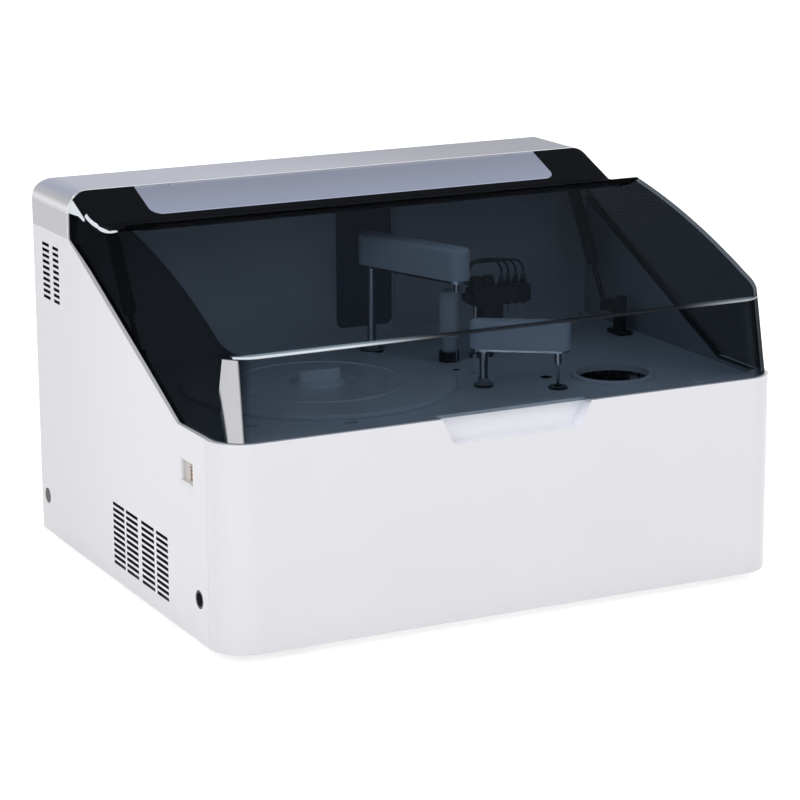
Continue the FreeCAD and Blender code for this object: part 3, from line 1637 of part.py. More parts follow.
def rinse_column():
    """Translucent column and its neck."""
    z1 = deck_top + column_base_height
    z2 = z1 + column_neck_height
    neck = post(column_neck_radius, column_x, column_y, z1, z2)
    column = post(column_radius, column_x, column_y, z2, z2 + column_height)
    column = column.makeFillet(fillet_small, [column.Edges[0], column.Edges[2]])
    return neck.fuse(column).removeSplitter()


def rinse_base():
    """Black base of the column."""
    return post(column_base_radius, column_x, column_y, deck_top, deck_top + column_base_height)


def rinse_cap():
    """Thin bracket plate on the column."""
    low = deck_top + column_base_height + column_neck_height + column_height
    half = column_cap_width / 2
    plan = rectangle(column_x - half, column_x + column_cap_length - half, column_y - half, column_y + half)
    return prism_z(plan, half - fillet_small, low, low + column_cap_height)


def usb_bezel():
    """Frame of the data socket in the left panel, with a shallow pocket."""
    body = usb_box(0, half_width, inner_half - usb_fit_gap)
    pocket = usb_box(-usb_rim, half_width + overrun, half_width - usb_pocket_depth)
    return body.cut(pocket).cut(usb_socket_block(0, half_width, 0))


def usb_socket_block(step, outer, inner):
    """Upright block of the data socket, grown by a step."""
    y1 = front_y + usb_back_from_front - usb_socket_side
    y0 = y1 - usb_socket_length
    middle = usb_low + usb_height / 2
    half = usb_socket_height / 2
    return box(-outer, -inner, y0 - step, y1 + step, middle - half - step, middle + half + step)


def usb_socket():
    """Upright data socket with its opening and tongue."""
    back = inner_half - usb_fit_gap
    face = half_width - fillet_small
    shell = usb_socket_block(0, face, back)
    hollow = usb_socket_block(-usb_socket_lip, face + overrun, back + usb_socket_lip)
    tongue = usb_socket_block(-usb_socket_side, face - usb_socket_lip, back)
    return shell.cut(hollow).fuse(tongue).removeSplitter()


def drain_grommet():
    """Black sleeve in the left panel, with a slightly wider end inside."""
    y = front_y + grommet_from_front
    outer = bar(grommet_radius, Vector(-half_width, y, grommet_height),
                Vector(-inner_half, y, grommet_height))
    collar_end = bar(grommet_radius + grommet_flange, Vector(panel_wall - half_width, y, grommet_height),
                     Vector(panel_wall + grommet_flange - half_width, y, grommet_height))
    bore = bar(grommet_bore, Vector(-width, y, grommet_height),
               Vector(-inner_half - grommet_flange, y, grommet_height))
    return outer.fuse(collar_end).removeSplitter().cut(bore)


def side_plug():
    """Flush plug near the back of the left panel, with a chamfered edge and a clip rim inside."""
    y = back_y - plug_from_back
    body = bar(plug_radius, Vector(-half_width, y, plug_height),
               Vector(panel_wall - half_width, y, plug_height))
    body = body.makeChamfer(plug_dome,
                            [edge for edge in body.Edges if edge.BoundBox.XMax < closeness - half_width])
    rim = bar(plug_radius + plug_dome, Vector(panel_wall - half_width, y, plug_height),
              Vector(panel_wall + plug_dome - half_width, y, plug_height))
    return body.fuse(rim).removeSplitter()


def lid_tab():
    """Small white rest for the lid on the front rim."""
    z0 = front_panel_top
    back = rim_back_y - recess_wall
    half = tab_width / 2
    return box(tab_x - half, tab_x + half, back - tab_depth, back, z0, z0 + tab_height)


def fan_frame():
    """Square fan housing behind the back wall with struts that hold the bearing."""
    y1 = rear_face_y - panel_wall
    y0 = y1 - fan_depth
    half = fan_size / 2
    frame = prism_y(rectangle(fan_x - half, fan_x + half, fan_z - half, fan_z + half), fan_corner, y0, y1)
    frame = frame.cut(bar(fan_bore, Vector(fan_x, y0 - overrun, fan_z), Vector(fan_x, y1 + overrun, fan_z)))
    hub = bar(fan_hub_radius, Vector(fan_x, y0, fan_z), Vector(fan_x, y0 + panel_wall, fan_z))
    arms = []
    for quarter in range(4):
        turn = fan_blade_pitch_angle + math.degrees(math.pi / 2) * quarter
        arm = box(0, fan_bore + fillet_small, y0, y0 + recess_wall, -panel_wall / 2, panel_wall / 2)
        arm.rotate(Vector(0, 0, 0), Vector(0, 1, 0), turn)
        arm.translate(Vector(fan_x, 0, fan_z))
        arms.append(arm)
    bore = bar(fan_spindle_radius + fan_running_gap, Vector(fan_x, y0 - overrun, fan_z),
               Vector(fan_x, y1, fan_z))
    return fused([frame, hub] + arms).cut(bore)


def fan_wheel():
    """Fan wheel: a hub with slanted blades and a spindle."""
    y1 = rear_face_y - panel_wall - recess_wall
    y0 = rear_face_y - panel_wall - fan_depth + panel_wall + fillet_small
    hub = bar(fan_hub_radius - fillet_small, Vector(fan_x, y0, fan_z), Vector(fan_x, y1, fan_z))
    spindle = bar(fan_spindle_radius, Vector(fan_x, y0 - panel_wall, fan_z), Vector(fan_x, y0, fan_z))
    blades = []
    middle = (y0 + y1) / 2
    chord = (y1 - y0) * math.cos(math.radians(fan_blade_pitch_angle))
    for index in range(fan_blade_count):
        blade = box(fan_hub_radius - recess_wall, fan_blade_radius, -chord / 2, chord / 2,
                    -fan_blade_sheet / 2, fan_blade_sheet / 2)
        blade.rotate(Vector(0, 0, 0), Vector(1, 0, 0), fan_blade_pitch_angle)
        blade.rotate(Vector(0, 0, 0), Vector(0, 1, 0), math.degrees(math.pi * 2) / fan_blade_count * index)
        blade.translate(Vector(fan_x, middle, fan_z))
        blades.append(blade)
    return fused([hub, spindle] + blades)


def fan_guard(y0, y1):
    """Rings and crossbars that stay in the back wall over the fan."""
    bars = []
    for index in range(fan_guard_ring_count - 1):
        outer = fan_bore * (index + 1) / fan_guard_ring_count + fan_guard_bar_width / 2
        ring = bar(outer, Vector(fan_x, y0, fan_z), Vector(fan_x, y1, fan_z))
        bars.append(ring.cut(bar(outer - fan_guard_bar_width, Vector(fan_x, y0, fan_z),
                                 Vector(fan_x, y1, fan_z))))
    for turn in (1, 3):
        arm = box(-fan_bore, fan_bore, y0, y1, -fan_guard_bar_width / 2, fan_guard_bar_width / 2)
        arm.rotate(Vector(0, 0, 0), Vector(0, 1, 0), math.degrees(math.pi / 4) * turn)
        arm.translate(Vector(fan_x, 0, fan_z))
        bars.append(arm)
    return fused(bars)


def power_inlet():
    """Three-blade power inlet in the back wall."""
    flange = inlet_block(inlet_flange_margin, rear_face_y, rear_face_y + fillet_small / 2)
    body = inlet_block(0, rear_face_y - inlet_depth, rear_face_y)
    half = inlet_well_width / 2
    rise = inlet_well_height / 2
    well_low = rear_face_y - inlet_well_depth
    hollow = box(inlet_x - half, inlet_x + half, well_low, rear_face_y + overrun, inlet_z - rise,
                 inlet_z + rise)
    shell = flange.fuse(body).removeSplitter().cut(hollow)
    blades = []
    for step, lift in ((-inlet_blade_spacing, 0), (0, inlet_flange), (inlet_blade_spacing, 0)):
        x = inlet_x + step
        z = inlet_z + lift
        blades.append(box(x - inlet_blade_width / 2, x + inlet_blade_width / 2,
                          well_low, well_low + inlet_blade_length,
                          z - inlet_blade_height / 2, z + inlet_blade_height / 2))
    return fused([shell] + blades)


def switch_frame():
    """Frame of the power switch."""
    y0 = rear_face_y - rocker_depth
    body = rocker_block(0, y0, rear_face_y)
    flange = rocker_block(small_step, rear_face_y, rear_face_y + fillet_small / 2)
    half = rocker_width / 2
    rise = rocker_height / 2
    hollow = box(rocker_x - half, rocker_x + half, y0 + panel_wall, rear_face_y + overrun,
                 inlet_z - rise, inlet_z + rise)
    frame = body.fuse(flange).removeSplitter().cut(hollow)
    pin = bar(rocker_pin_radius, Vector(rocker_x - half, rocker_axis_y(), inlet_z),
              Vector(rocker_x + half, rocker_axis_y(), inlet_z))
    return frame.fuse(pin).removeSplitter()


def rocker_axis_y():
    """Depth of the switch rocker's axis."""
    return rear_face_y - rocker_depth / 2 + small_step


def switch_rocker():
    """Rocker of the power switch, with a slightly hollow face."""
    half = rocker_width / 2 - rocker_gap
    rise = rocker_height / 2 - rocker_gap * 2
    axis_y = rocker_axis_y()
    face = rear_face_y + fillet_small / 2
    points = [(axis_y - rocker_out, inlet_z), (axis_y, inlet_z - rocker_out * 2),
              (face, inlet_z - rise), (face - fillet_small, inlet_z),
              (face, inlet_z + rise), (axis_y, inlet_z + rocker_out * 2)]
    body = prism_x(points, 0, rocker_x - half, rocker_x + half)
    return body.cut(bar(rocker_pin_radius + bearing_gap, Vector(rocker_x - width, axis_y, inlet_z),
                        Vector(rocker_x + width, axis_y, inlet_z)))


def fluid_ports():
    """Hose nipples through the back wall on a common plate."""
    middle = (port_x[0] + port_x[-1]) / 2
    half = port_plate_width / 2
    rise = port_plate_height / 2
    y0 = rear_face_y - panel_wall
    parts = [prism_y(rectangle(middle - half, middle + half, port_z - rise, port_z + rise),
                     panel_wall, y0 - port_plate_sheet, y0)]
    for x in port_x:
        parts.append(bar(port_radius, Vector(x, y0, port_z), Vector(x, rear_face_y, port_z)))
        parts.append(bar(port_barb_radius, Vector(x, y0 - port_length, port_z),
                         Vector(x, rear_face_y, port_z)))
    joined = fused(parts)
    bores = [bar(port_bore, Vector(x, y0 - port_length - overrun, port_z),
                 Vector(x, rear_face_y + overrun, port_z)) for x in port_x]
    return joined.cut(group(bores))


def data_port():
    """Data connector in the back wall."""
    half = data_port_width / 2
    y0 = rear_face_y - panel_wall * 2
    z0 = data_port_z
    z1 = z0 + data_port_height
    shell = box(data_port_x - half, data_port_x + half, y0, rear_face_y, z0, z1)
    lip = usb_socket_lip
    return shell.cut(box(data_port_x - half + lip, data_port_x + half - lip, y0 + lip,
                         rear_face_y + overrun, z0 + lip, z1 - lip))


def power_supply():
    """Power supply box on the tray."""
    y1 = rear_face_y - supply_back_gap - panel_wall
    y0 = y1 - supply_length
    case = box(supply_left, supply_left + supply_width, y0, y1, tray_top, tray_top + supply_height)
    return case.makeFillet(fillet_small,
                           [edge for edge in case.Edges if edge.BoundBox.ZMin > tray_top + fillet_small])


def control_board():
    """Upright circuit board on two feet."""
    y0 = back_y - board_from_back
    board = box(board_left, board_left + board_width, y0, y0 + board_sheet, tray_top,
                tray_top + board_height)
    feet_list = []
    for shift in (board_foot, board_width - board_foot * 2):
        x0 = board_left + shift
        feet_list.append(box(x0, x0 + board_foot, y0 + board_sheet, y0 + board_sheet + board_foot,
                             tray_top, tray_top + board_foot))
    return fused([board] + feet_list)


def photometer():
    """Lamp and detector housing against the bowl."""
    low = bowl_low + lamp_above_floor
    x0 = ring_x + bowl_radius + bowl_wall
    half = lamp_width / 2
    body = box(x0 - panel_wall, x0 + lamp_length, ring_y - half, ring_y + half, low, low + lamp_height)
    body = body.cut(post(bowl_radius + bowl_wall, ring_x, ring_y, low - overrun,
                         low + lamp_height + overrun))
    fins = []
    for shift in (-half, -half / 2, 0, half / 2):
        y0 = ring_y + shift
        fins.append(box(x0 + lamp_length, x0 + lamp_length + panel_wall * 2, y0, y0 + small_step, low,
                        low + lamp_height))
    return fused([body] + fins)


def deck_screws():
    """Screw heads near the corners of the deck."""
    heads = []
    for x in (screw_inset - inner_half, inner_half - screw_inset):
        for y in (rim_back_y + screw_inset, wall_y - screw_inset):
            head = post(screw_radius, x, y, deck_top, deck_top + screw_height)
            heads.append(head.makeFillet(fillet_small / 2, [head.Edges[0]]))
    return group(heads)


def save(node, shape):
    """Write one node."""
    shape.exportStep("parts/" + node + ".step")


def housing_nodes():
    """Fixed outer pieces."""
    save("front_panel", front_panel())
    save("right_side_panel", plain_side_panel())
    save("left_side_panel", left_side_panel())
    save("rear_panel", rear_panel())
    save("top_hood", top_hood())
    save("chassis_tray", chassis_tray())
    save("feet", feet())
    save("usb_socket", group([usb_bezel(), usb_socket()]))
    save("side_plugs", group([drain_grommet(), side_plug()]))
    save("lid_rest_tab", lid_tab())
    save("hinge_brackets", group([hinge_brackets(), hinge_pins()]))


def chamber_nodes():
    """Fixed pieces round the working chamber."""
    save("deck_plate", deck_plate())
    save("chamber_liners", group([liner(), mirror(liner())]))
    save("inner_wall", inner_wall())
    save("rear_window", rear_window())
    save("rear_cover_plate", rear_cover_plate())
    save("deck_screws", deck_screws())
    probe_ring = collar(probe_x, probe_y, probe_collar_radius, probe_collar_height, probe_shaft_radius)
    mixer_ring = collar(mixer_x, mixer_y, mixer_collar_radius, mixer_collar_height, mixer_shaft_radius)
    save("deck_collars", group([probe_ring, mixer_ring, mixer_guard(), rinse_base(), rinse_cap()]))
    save("deck_wells", group([probe_well(), mixer_well(), deck_pocket()]))
    save("viewing_rim", ring_rim())
    save("rinse_column", rinse_column())
    save("strut_posts", group([strut_post(), mirror(strut_post())]))


def lid_nodes():
    """Lid pieces and gas struts."""
    save("lid_shell", lid_shell())
    save("lid_top_plate", lid_top_plate())
    save("lid_rear_band", lid_rear_band())
    save("lid_strut_lugs", group([lid_lug(), mirror(lid_lug())]))
    save("strut_rod_right", strut_rod())
    save("strut_rod_left", mirror(strut_rod()))
    save("strut_cylinder_right", strut_cylinder())
    save("strut_cylinder_left", mirror(strut_cylinder()))


def carousel_nodes():
    """Reagent carousel and cuvette ring."""
    save("reagent_tub", reagent_tub())
    save("carousel_tray", carousel())
    save("reagent_bottles", bottles())
    save("carousel_cover", fused([carousel_cover(), carousel_grip()]))
    save("ring_bowl", ring_bowl())
    save("cuvette_ring", cuvette_ring())
    save("cuvettes", cuvettes())
    save("ring_knob", ring_knob())
    save("photometer", photometer())


def arm_nodes():
    """Arms, their lifts and the washing head."""
    probe_way = math.degrees(math.atan2(reagent_y - probe_y, reagent_x - probe_x))
    mixer_way = math.degrees(math.pi / 2)
    save("probe_arm_housing", probe_arm())
    save("probe_shaft", fused([probe_shaft(), probe_sole()]))
    save("probe_needle", probe_needle())
    save("probe_lift_block",
         lift_block(probe_x, probe_y, probe_shaft_radius, deck_under - probe_shaft_below_deck, probe_way))
    save("mixer_arm_housing", mixer_arm())
    save("mixer_shaft", fused([mixer_shaft(), mixer_sole()]))
    save("stirrer", stirrer())
    save("mixer_lift_block",
         lift_block(mixer_x, mixer_y, mixer_shaft_radius, deck_under - mixer_shaft_below_deck, mixer_way))
    save("guide_rods", group([lift_rods(probe_x, probe_y, probe_way),
                              lift_rods(mixer_x, mixer_y, mixer_way), wash_posts()]))
    motors = [carousel_motor(), ring_motor(), lift_motor(probe_x, probe_y, probe_way),
              lift_motor(mixer_x, mixer_y, mixer_way)]
    save("drive_motors", group(motors))
    save("wash_head", fused([wash_block(), wash_knob()]))
    save("wash_needles", wash_needles_group())
    save("wash_tubes", wash_tubes())


def rear_nodes():
    """Pieces in the back wall and inside the housing."""
    save("fan_frame", fan_frame())
    save("fan_wheel", fan_wheel())
    save("power_inlet", group([power_inlet(), switch_frame()]))
    save("power_switch_rocker", switch_rocker())
    save("fluid_ports", fluid_ports())
    save("data_port", data_port())
    save("power_supply", power_supply())
    save("control_board", control_board())


def main():
    """Write every node of the analyzer."""
    os.makedirs("parts", exist_ok=True)
    housing_nodes()
    chamber_nodes()
    lid_nodes()
    carousel_nodes()
    arm_nodes()
    rear_nodes()


if __name__ == "__main__":
    main()
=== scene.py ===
import logging
import math
from collections.abc import Mapping, Sequence
from dataclasses import dataclass, field
from enum import Enum

import bmesh
import bpy
from mathutils import Matrix, Vector


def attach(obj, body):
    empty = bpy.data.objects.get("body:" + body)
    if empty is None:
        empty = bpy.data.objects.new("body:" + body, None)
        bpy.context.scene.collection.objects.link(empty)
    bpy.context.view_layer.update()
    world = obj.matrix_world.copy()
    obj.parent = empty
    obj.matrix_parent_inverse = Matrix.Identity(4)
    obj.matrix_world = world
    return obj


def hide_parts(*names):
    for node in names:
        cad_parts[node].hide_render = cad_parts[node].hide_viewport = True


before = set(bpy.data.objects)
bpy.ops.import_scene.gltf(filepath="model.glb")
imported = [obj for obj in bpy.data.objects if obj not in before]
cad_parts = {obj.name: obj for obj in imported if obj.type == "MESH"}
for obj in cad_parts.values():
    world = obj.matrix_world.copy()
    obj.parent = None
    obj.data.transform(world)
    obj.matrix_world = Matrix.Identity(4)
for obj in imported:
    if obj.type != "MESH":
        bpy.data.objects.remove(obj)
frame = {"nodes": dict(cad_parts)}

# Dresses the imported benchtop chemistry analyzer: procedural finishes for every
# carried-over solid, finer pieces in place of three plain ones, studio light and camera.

LOG = logging.getLogger("analyzer")
MILLIMETRE = 0.001
SHARP_ANGLE = math.radians(35.0)
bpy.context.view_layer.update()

Colour = tuple[float, float, float]
Point = tuple[float, float, float]
Span = tuple[float, float]
Box = tuple[Point, Point]
Profile = tuple[Span, ...]


class Axis(Enum):
    """The axis that a turned form stands along."""

    X = 0
    Y = 1
    Z = 2


class Way(Enum):
    """How a texture is drawn out over the part: the scale of its coordinates."""

    EVEN = (1.0, 1.0, 1.0)
    ALONG_X = (0.04, 1.0, 1.0)
    ALONG_Y = (1.0, 0.04, 1.0)
    ALONG_Z = (1.0, 1.0, 0.04)


class Value:
    """A shader socket whose Python operators add Math nodes to its tree."""

    def __init__(self, graph: "Graph", socket: bpy.types.NodeSocket) -> None:
        """Keeps the tree and the socket.

        Args:
            graph: The node tree.
            socket: The output socket that this value reads.
        """
        self.graph = graph
        self.socket = socket

    def maths(self, operation: str, first: "Input", second: "Input") -> "Value":
        """Adds one Math node.

        Args:
            operation: The Math node's operation.
            first: Its first operand.
            second: Its second operand.

        Returns:
            The node's result.
        """
        return self.graph.node("ShaderNodeMath", {"operation": operation}, {0: first, 1: second})

    def __add__(self, other: "Input") -> "Value":
        """Returns this value plus another."""
        return self.maths("ADD", self, other)

    def __radd__(self, other: "Input") -> "Value":
        """Returns another value plus this one."""
        return self.maths("ADD", other, self)

    def __sub__(self, other: "Input") -> "Value":
        """Returns this value less another."""
        return self.maths("SUBTRACT", self, other)

    def __rsub__(self, other: "Input") -> "Value":
        """Returns another value less this one."""
        return self.maths("SUBTRACT", other, self)

    def __mul__(self, other: "Input") -> "Value":
        """Returns this value times another."""
        return self.maths("MULTIPLY", self, other)

    def __rmul__(self, other: "Input") -> "Value":
        """Returns another value times this one."""
        return self.maths("MULTIPLY", other, self)

    def __truediv__(self, other: "Input") -> "Value":
        """Returns this value divided by another."""
        return self.maths("DIVIDE", self, other)

    def __rtruediv__(self, other: "Input") -> "Value":
        """Returns another value divided by this one."""
        return self.maths("DIVIDE", other, self)

    def __abs__(self) -> "Value":
        """Returns the value without its sign."""
        return self.maths("ABSOLUTE", self, 0.0)

    def above(self, level: "Input") -> "Value":
        """Returns 1 where this value is over a level, and 0 elsewhere."""
        return self.maths("GREATER_THAN", self, level)

    def below(self, level: "Input") -> "Value":
        """Returns 1 where this value is under a level, and 0 elsewhere."""
        return self.maths("LESS_THAN", self, level)

    def within(self, span: Span) -> "Value":
        """Returns 1 where this value is between a span's ends, and 0 elsewhere."""
        return self.above(span[0]) * self.below(span[1])

    def folded(self, pitch: float) -> "Value":
        """Returns how far this value is from the nearest whole number of pitches."""
        return self.maths("PINGPONG", self, pitch / 2.0)

    def rise(self, low: float, high: float) -> "Value":
        """Eases from 0 at one level to 1 at another.

        Args:
            low: Where the result is 0.
            high: Where the result is 1.

        Returns:
            The eased share.
        """
        settings = {"interpolation_type": "SMOOTHSTEP"}
        return self.graph.node("ShaderNodeMapRange", settings, {0: self, 1: low, 2: high})


Input = float | Sequence[float] | Value


class Graph:
    """The node tree of a material or of the surroundings, with the few ways to add to it."""

    def __init__(self, owner: bpy.types.ID) -> None:
        """Empties the tree.

        Args:
            owner: The new material or world that the tree belongs to.
        """
        owner.use_nodes = True
        self.tree = owner.node_tree
        self.tree.nodes.clear()

    def node(
        self,
        kind: str,
        settings: Mapping[str, object],
        inputs: Mapping[int | str, Input],
        output: int | str = 0,
    ) -> Value:
        """Adds any node: its settings first, then the values or links of its sockets.

        Args:
            kind: The node's type.
            settings: Attributes of the node, and a ramp's colour stops under "stops".
            inputs: Numbers, colours or values for its sockets, by place or name.
            output: The socket to read.

        Returns:
            The chosen output.
        """
        made = self.tree.nodes.new(kind)
        for name, setting in settings.items():
            if name == "stops":
                self.ramp(made, setting)
            else:
                setattr(made, name, setting)
        for name, value in inputs.items():
            if isinstance(value, Value):
                self.tree.links.new(value.socket, made.inputs[name])
            else:
                made.inputs[name].default_value = value
        return Value(self, made.outputs[output])

    @staticmethod
    def ramp(made: bpy.types.Node, stops: Sequence[tuple[float, Colour]]) -> None:
        """Sets a Color Ramp's stops.

        Args:
            made: The ramp node.
            stops: Places from 0 to 1, each with its colour.
        """
        elements = made.color_ramp.elements
        while len(elements) < len(stops):
            elements.new(1.0)
        for element, (place, colour) in zip(elements, stops):
            element.position = place
            element.color = (*colour, 1.0)

    def place(self) -> Value:
        """Returns the point on the part, in metres in its own frame."""
        return self.node("ShaderNodeTexCoord", {}, {}, "Object")

    def split(self, vector: Value) -> tuple[Value, Value, Value]:
        """Takes a vector apart.

        Args:
            vector: The vector.

        Returns:
            Its x, y and z.
        """
        outputs = self.node("ShaderNodeSeparateXYZ", {}, {0: vector}).socket.node.outputs
        return Value(self, outputs[0]), Value(self, outputs[1]), Value(self, outputs[2])

    def axes(self) -> tuple[Value, Value, Value]:
        """Returns the point's x, y and z."""
        return self.split(self.place())

    def facing(self) -> tuple[Value, Value, Value]:
        """Returns the surface normal's x, y and z in the part's own frame."""
        return self.split(self.node("ShaderNodeTexCoord", {}, {}, "Normal"))

    def grain(self, size: float, way: Way = Way.EVEN, detail: float = 3.0) -> Value:
        """Adds a noise from 0 to 1.

        Args:
            size: The width of its larger blotches in metres.
            way: The direction that it is drawn out along.
            detail: How many finer layers it holds.

        Returns:
            The noise.
        """
        settings = {"operation": "MULTIPLY"}
        drawn = self.node("ShaderNodeVectorMath", settings, {0: self.place(), 1: way.value})
        inputs = {"Vector": drawn, "Scale": 1.0 / size, "Detail": detail}
        return self.node("ShaderNodeTexNoise", {}, inputs)

    def cells(self, size: float) -> Value:
        """Returns the distance to the nearest point of scattered cells of a size."""
        inputs = {"Vector": self.place(), "Scale": 1.0 / size}
        return self.node("ShaderNodeTexVoronoi", {}, inputs)

    def blend(self, share: Input, first: Input, second: Input) -> Value:
        """Mixes two colours.

        Args:
            share: How much of the second colour shows.
            first: The colour at share 0.
            second: The colour at share 1.

        Returns:
            The mixed colour.
        """
        inputs = {0: share, 6: rgba(first), 7: rgba(second)}
        return self.node("ShaderNodeMix", {"data_type": "RGBA"}, inputs, 2)

    def mottled(self, noise: Value, colour: Colour, ends: Span, span: Span = (0.3, 0.7)) -> Value:
        """Varies a colour's lightness along a noise.

        Args:
            noise: The noise, from 0 to 1.
            colour: The colour.
            ends: The colour's factors where the noise is low and where it is high.
            span: The part of the noise that the change takes up.

        Returns:
            The varied colour.
        """
        return self.blend(noise.rise(*span), shade(colour, ends[0]), shade(colour, ends[1]))

    def mix(self, share: Input, first: Value, second: Value) -> Value:
        """Mixes two shaders.

        Args:
            share: How much of the second shader shows.
            first: The shader at share 0.
            second: The shader at share 1.

        Returns:
            The mixed shader.
        """
        return self.node("ShaderNodeMixShader", {}, {0: share, 1: first, 2: second})

    def bump(self, height: Value, depth: float) -> Value:
        """Adds a Bump node.

        Args:
            height: The relief from 0 to 1.
            depth: The relief's depth in metres.

        Returns:
            The changed normal.
        """
        inputs = {"Strength": 1.0, "Distance": depth, "Height": height}
        return self.node("ShaderNodeBump", {}, inputs)

    def fresnel(self, index: float) -> Value:
        """Returns how much a smooth surface of a refractive index mirrors."""
        return self.node("ShaderNodeFresnel", {}, {"IOR": index})

    def clear(self, tint: Value) -> Value:
        """Returns a see-through shader of a tint."""
        return self.node("ShaderNodeBsdfTransparent", {}, {"Color": tint})

    def mirror(self, colour: Colour, roughness: Input) -> Value:
        """Returns a metallic shader that mirrors in a colour."""
        return self.shader({"Base Color": rgba(colour), "Metallic": 1.0, "Roughness": roughness})

    def shader(self, inputs: Mapping[int | str, Input]) -> Value:
        """Returns a Principled shader with the given sockets."""
        return self.node("ShaderNodeBsdfPrincipled", {}, inputs)

    def end(self, shader: Value, output: str = "ShaderNodeOutputMaterial") -> None:
        """Adds the output node and links a shader to it.

        Args:
            shader: What the surface or the surroundings show.
            output: The output node's type.
        """
        out = self.tree.nodes.new(output)
        self.tree.links.new(shader.socket, out.inputs["Surface"])


def rgba(colour: Input) -> Input:
    """Gives a colour full alpha.

    Args:
        colour: Red, green and blue, or a value.

    Returns:
        The colour with its alpha, or the value as it is.
    """
    if isinstance(colour, Value):
        return colour
    return (*colour, 1.0)


def shade(colour: Colour, factor: float) -> Colour:
    """Returns a colour made lighter or darker by a factor."""
    return (colour[0] * factor, colour[1] * factor, colour[2] * factor)


def from_screen(red: int, green: int, blue: int) -> Colour:
    """Turns a colour as a screen shows it into linear light.

    Args:
        red: The red step from 0 to 255.
        green: The green step.
        blue: The blue step.

    Returns:
        The linear colour.
    """

    def linear(step: int) -> float:
        """Returns one channel as linear light."""
        share = step / 255.0
        return share / 12.92 if share <= 0.04045 else ((share + 0.055) / 1.055) ** 2.4

    return (linear(red), linear(green), linear(blue))


@dataclass(frozen=True)
class Finish:
    """What every finish has: its name and its main colour."""

    name: str
    colour: Colour

    def surface(self, graph: Graph) -> Value:
        """Makes the finish's shader.

        Args:
            graph: The material's tree.

        Returns:
            The shader.
        """
        raise NotImplementedError(self.name)

    def dress(self) -> bpy.types.Material:
        """Builds the material.

        Returns:
            The material, with the finish's name and shader.
        """
        material = bpy.data.materials.new(self.name)
        graph = Graph(material)
        graph.end(self.surface(graph))
        return material


@dataclass(frozen=True)
class Moulded(Finish):
    """Moulded or powder-coated plastic and rubber with a fine skin texture."""

    roughness: float = 0.38
    skin: float = 0.0011
    relief: float = 0.00004
    mottle: float = 0.035
    coat: float = 0.0
    coat_roughness: float = 0.12
    cloud_size: float = 0.09
    flow_size: float = 0.35
    cloud_share: float = 0.6

    def cloud(self, graph: Graph) -> Value:
        """Returns the plastic's broad unevenness, from 0 to 1."""
        return graph.grain(self.cloud_size, detail=4.0)

    def tone(self, graph: Graph, share: Value) -> Value:
        """Colours the plastic.

        Args:
            graph: The material's tree.
            share: Its unevenness, from 0 to 1.

        Returns:
            The mottled colour.
        """
        ends = (1.0 - self.mottle, 1.0 + self.mottle)
        return graph.mottled(share, self.colour, ends, (0.25, 0.75))

    def surface(self, graph: Graph) -> Value:
        """Makes the plastic: mottled colour, uneven gloss and a skin texture.

        Args:
            graph: The material's tree.

        Returns:
            The shader.
        """
        flow = graph.grain(self.flow_size, Way.ALONG_X, 2.0)
        fine = graph.grain(self.skin, detail=2.0)
        share = self.cloud(graph) * self.cloud_share + flow * (1.0 - self.cloud_share)
        inputs: dict[int | str, Input] = {
            "Base Color": self.tone(graph, share),
            "Roughness": self.roughness + (share - 0.5) * 0.12 + (fine - 0.5) * 0.06,
            "Normal": graph.bump(fine, self.relief),
        }
        if self.coat:
            inputs["Coat Weight"] = self.coat
            inputs["Coat Roughness"] = self.coat_roughness
        return graph.shader(inputs)


@dataclass(frozen=True)
class SlotGroup:
    """One group of air slots in the left side: columns of slots at an even pitch."""

    columns: tuple[Span, ...]
    top: float
    pitch: float
    rows: int
    half_height: float = 0.0021
    margin: float = 0.0003

    def mask(self, along: Value, height: Value) -> Value:
        """Marks the painted shade over the slots and a hair round them.

        Args:
            along: The point's y.
            height: The point's z.

        Returns:
            1 over the slots and 0 elsewhere.
        """
        levels = (self.top - (self.rows - 0.5) * self.pitch, self.top + self.pitch / 2.0)
        # painted shade: the band is taller than a slot, so the shade spreads a hair round it
        band = (height - self.top).folded(self.pitch).below(self.half_height)
        spans = [(front - self.margin, back + self.margin) for front, back in self.columns]
        return band * height.within(levels) * sum((along.within(span) for span in spans), 0.0)


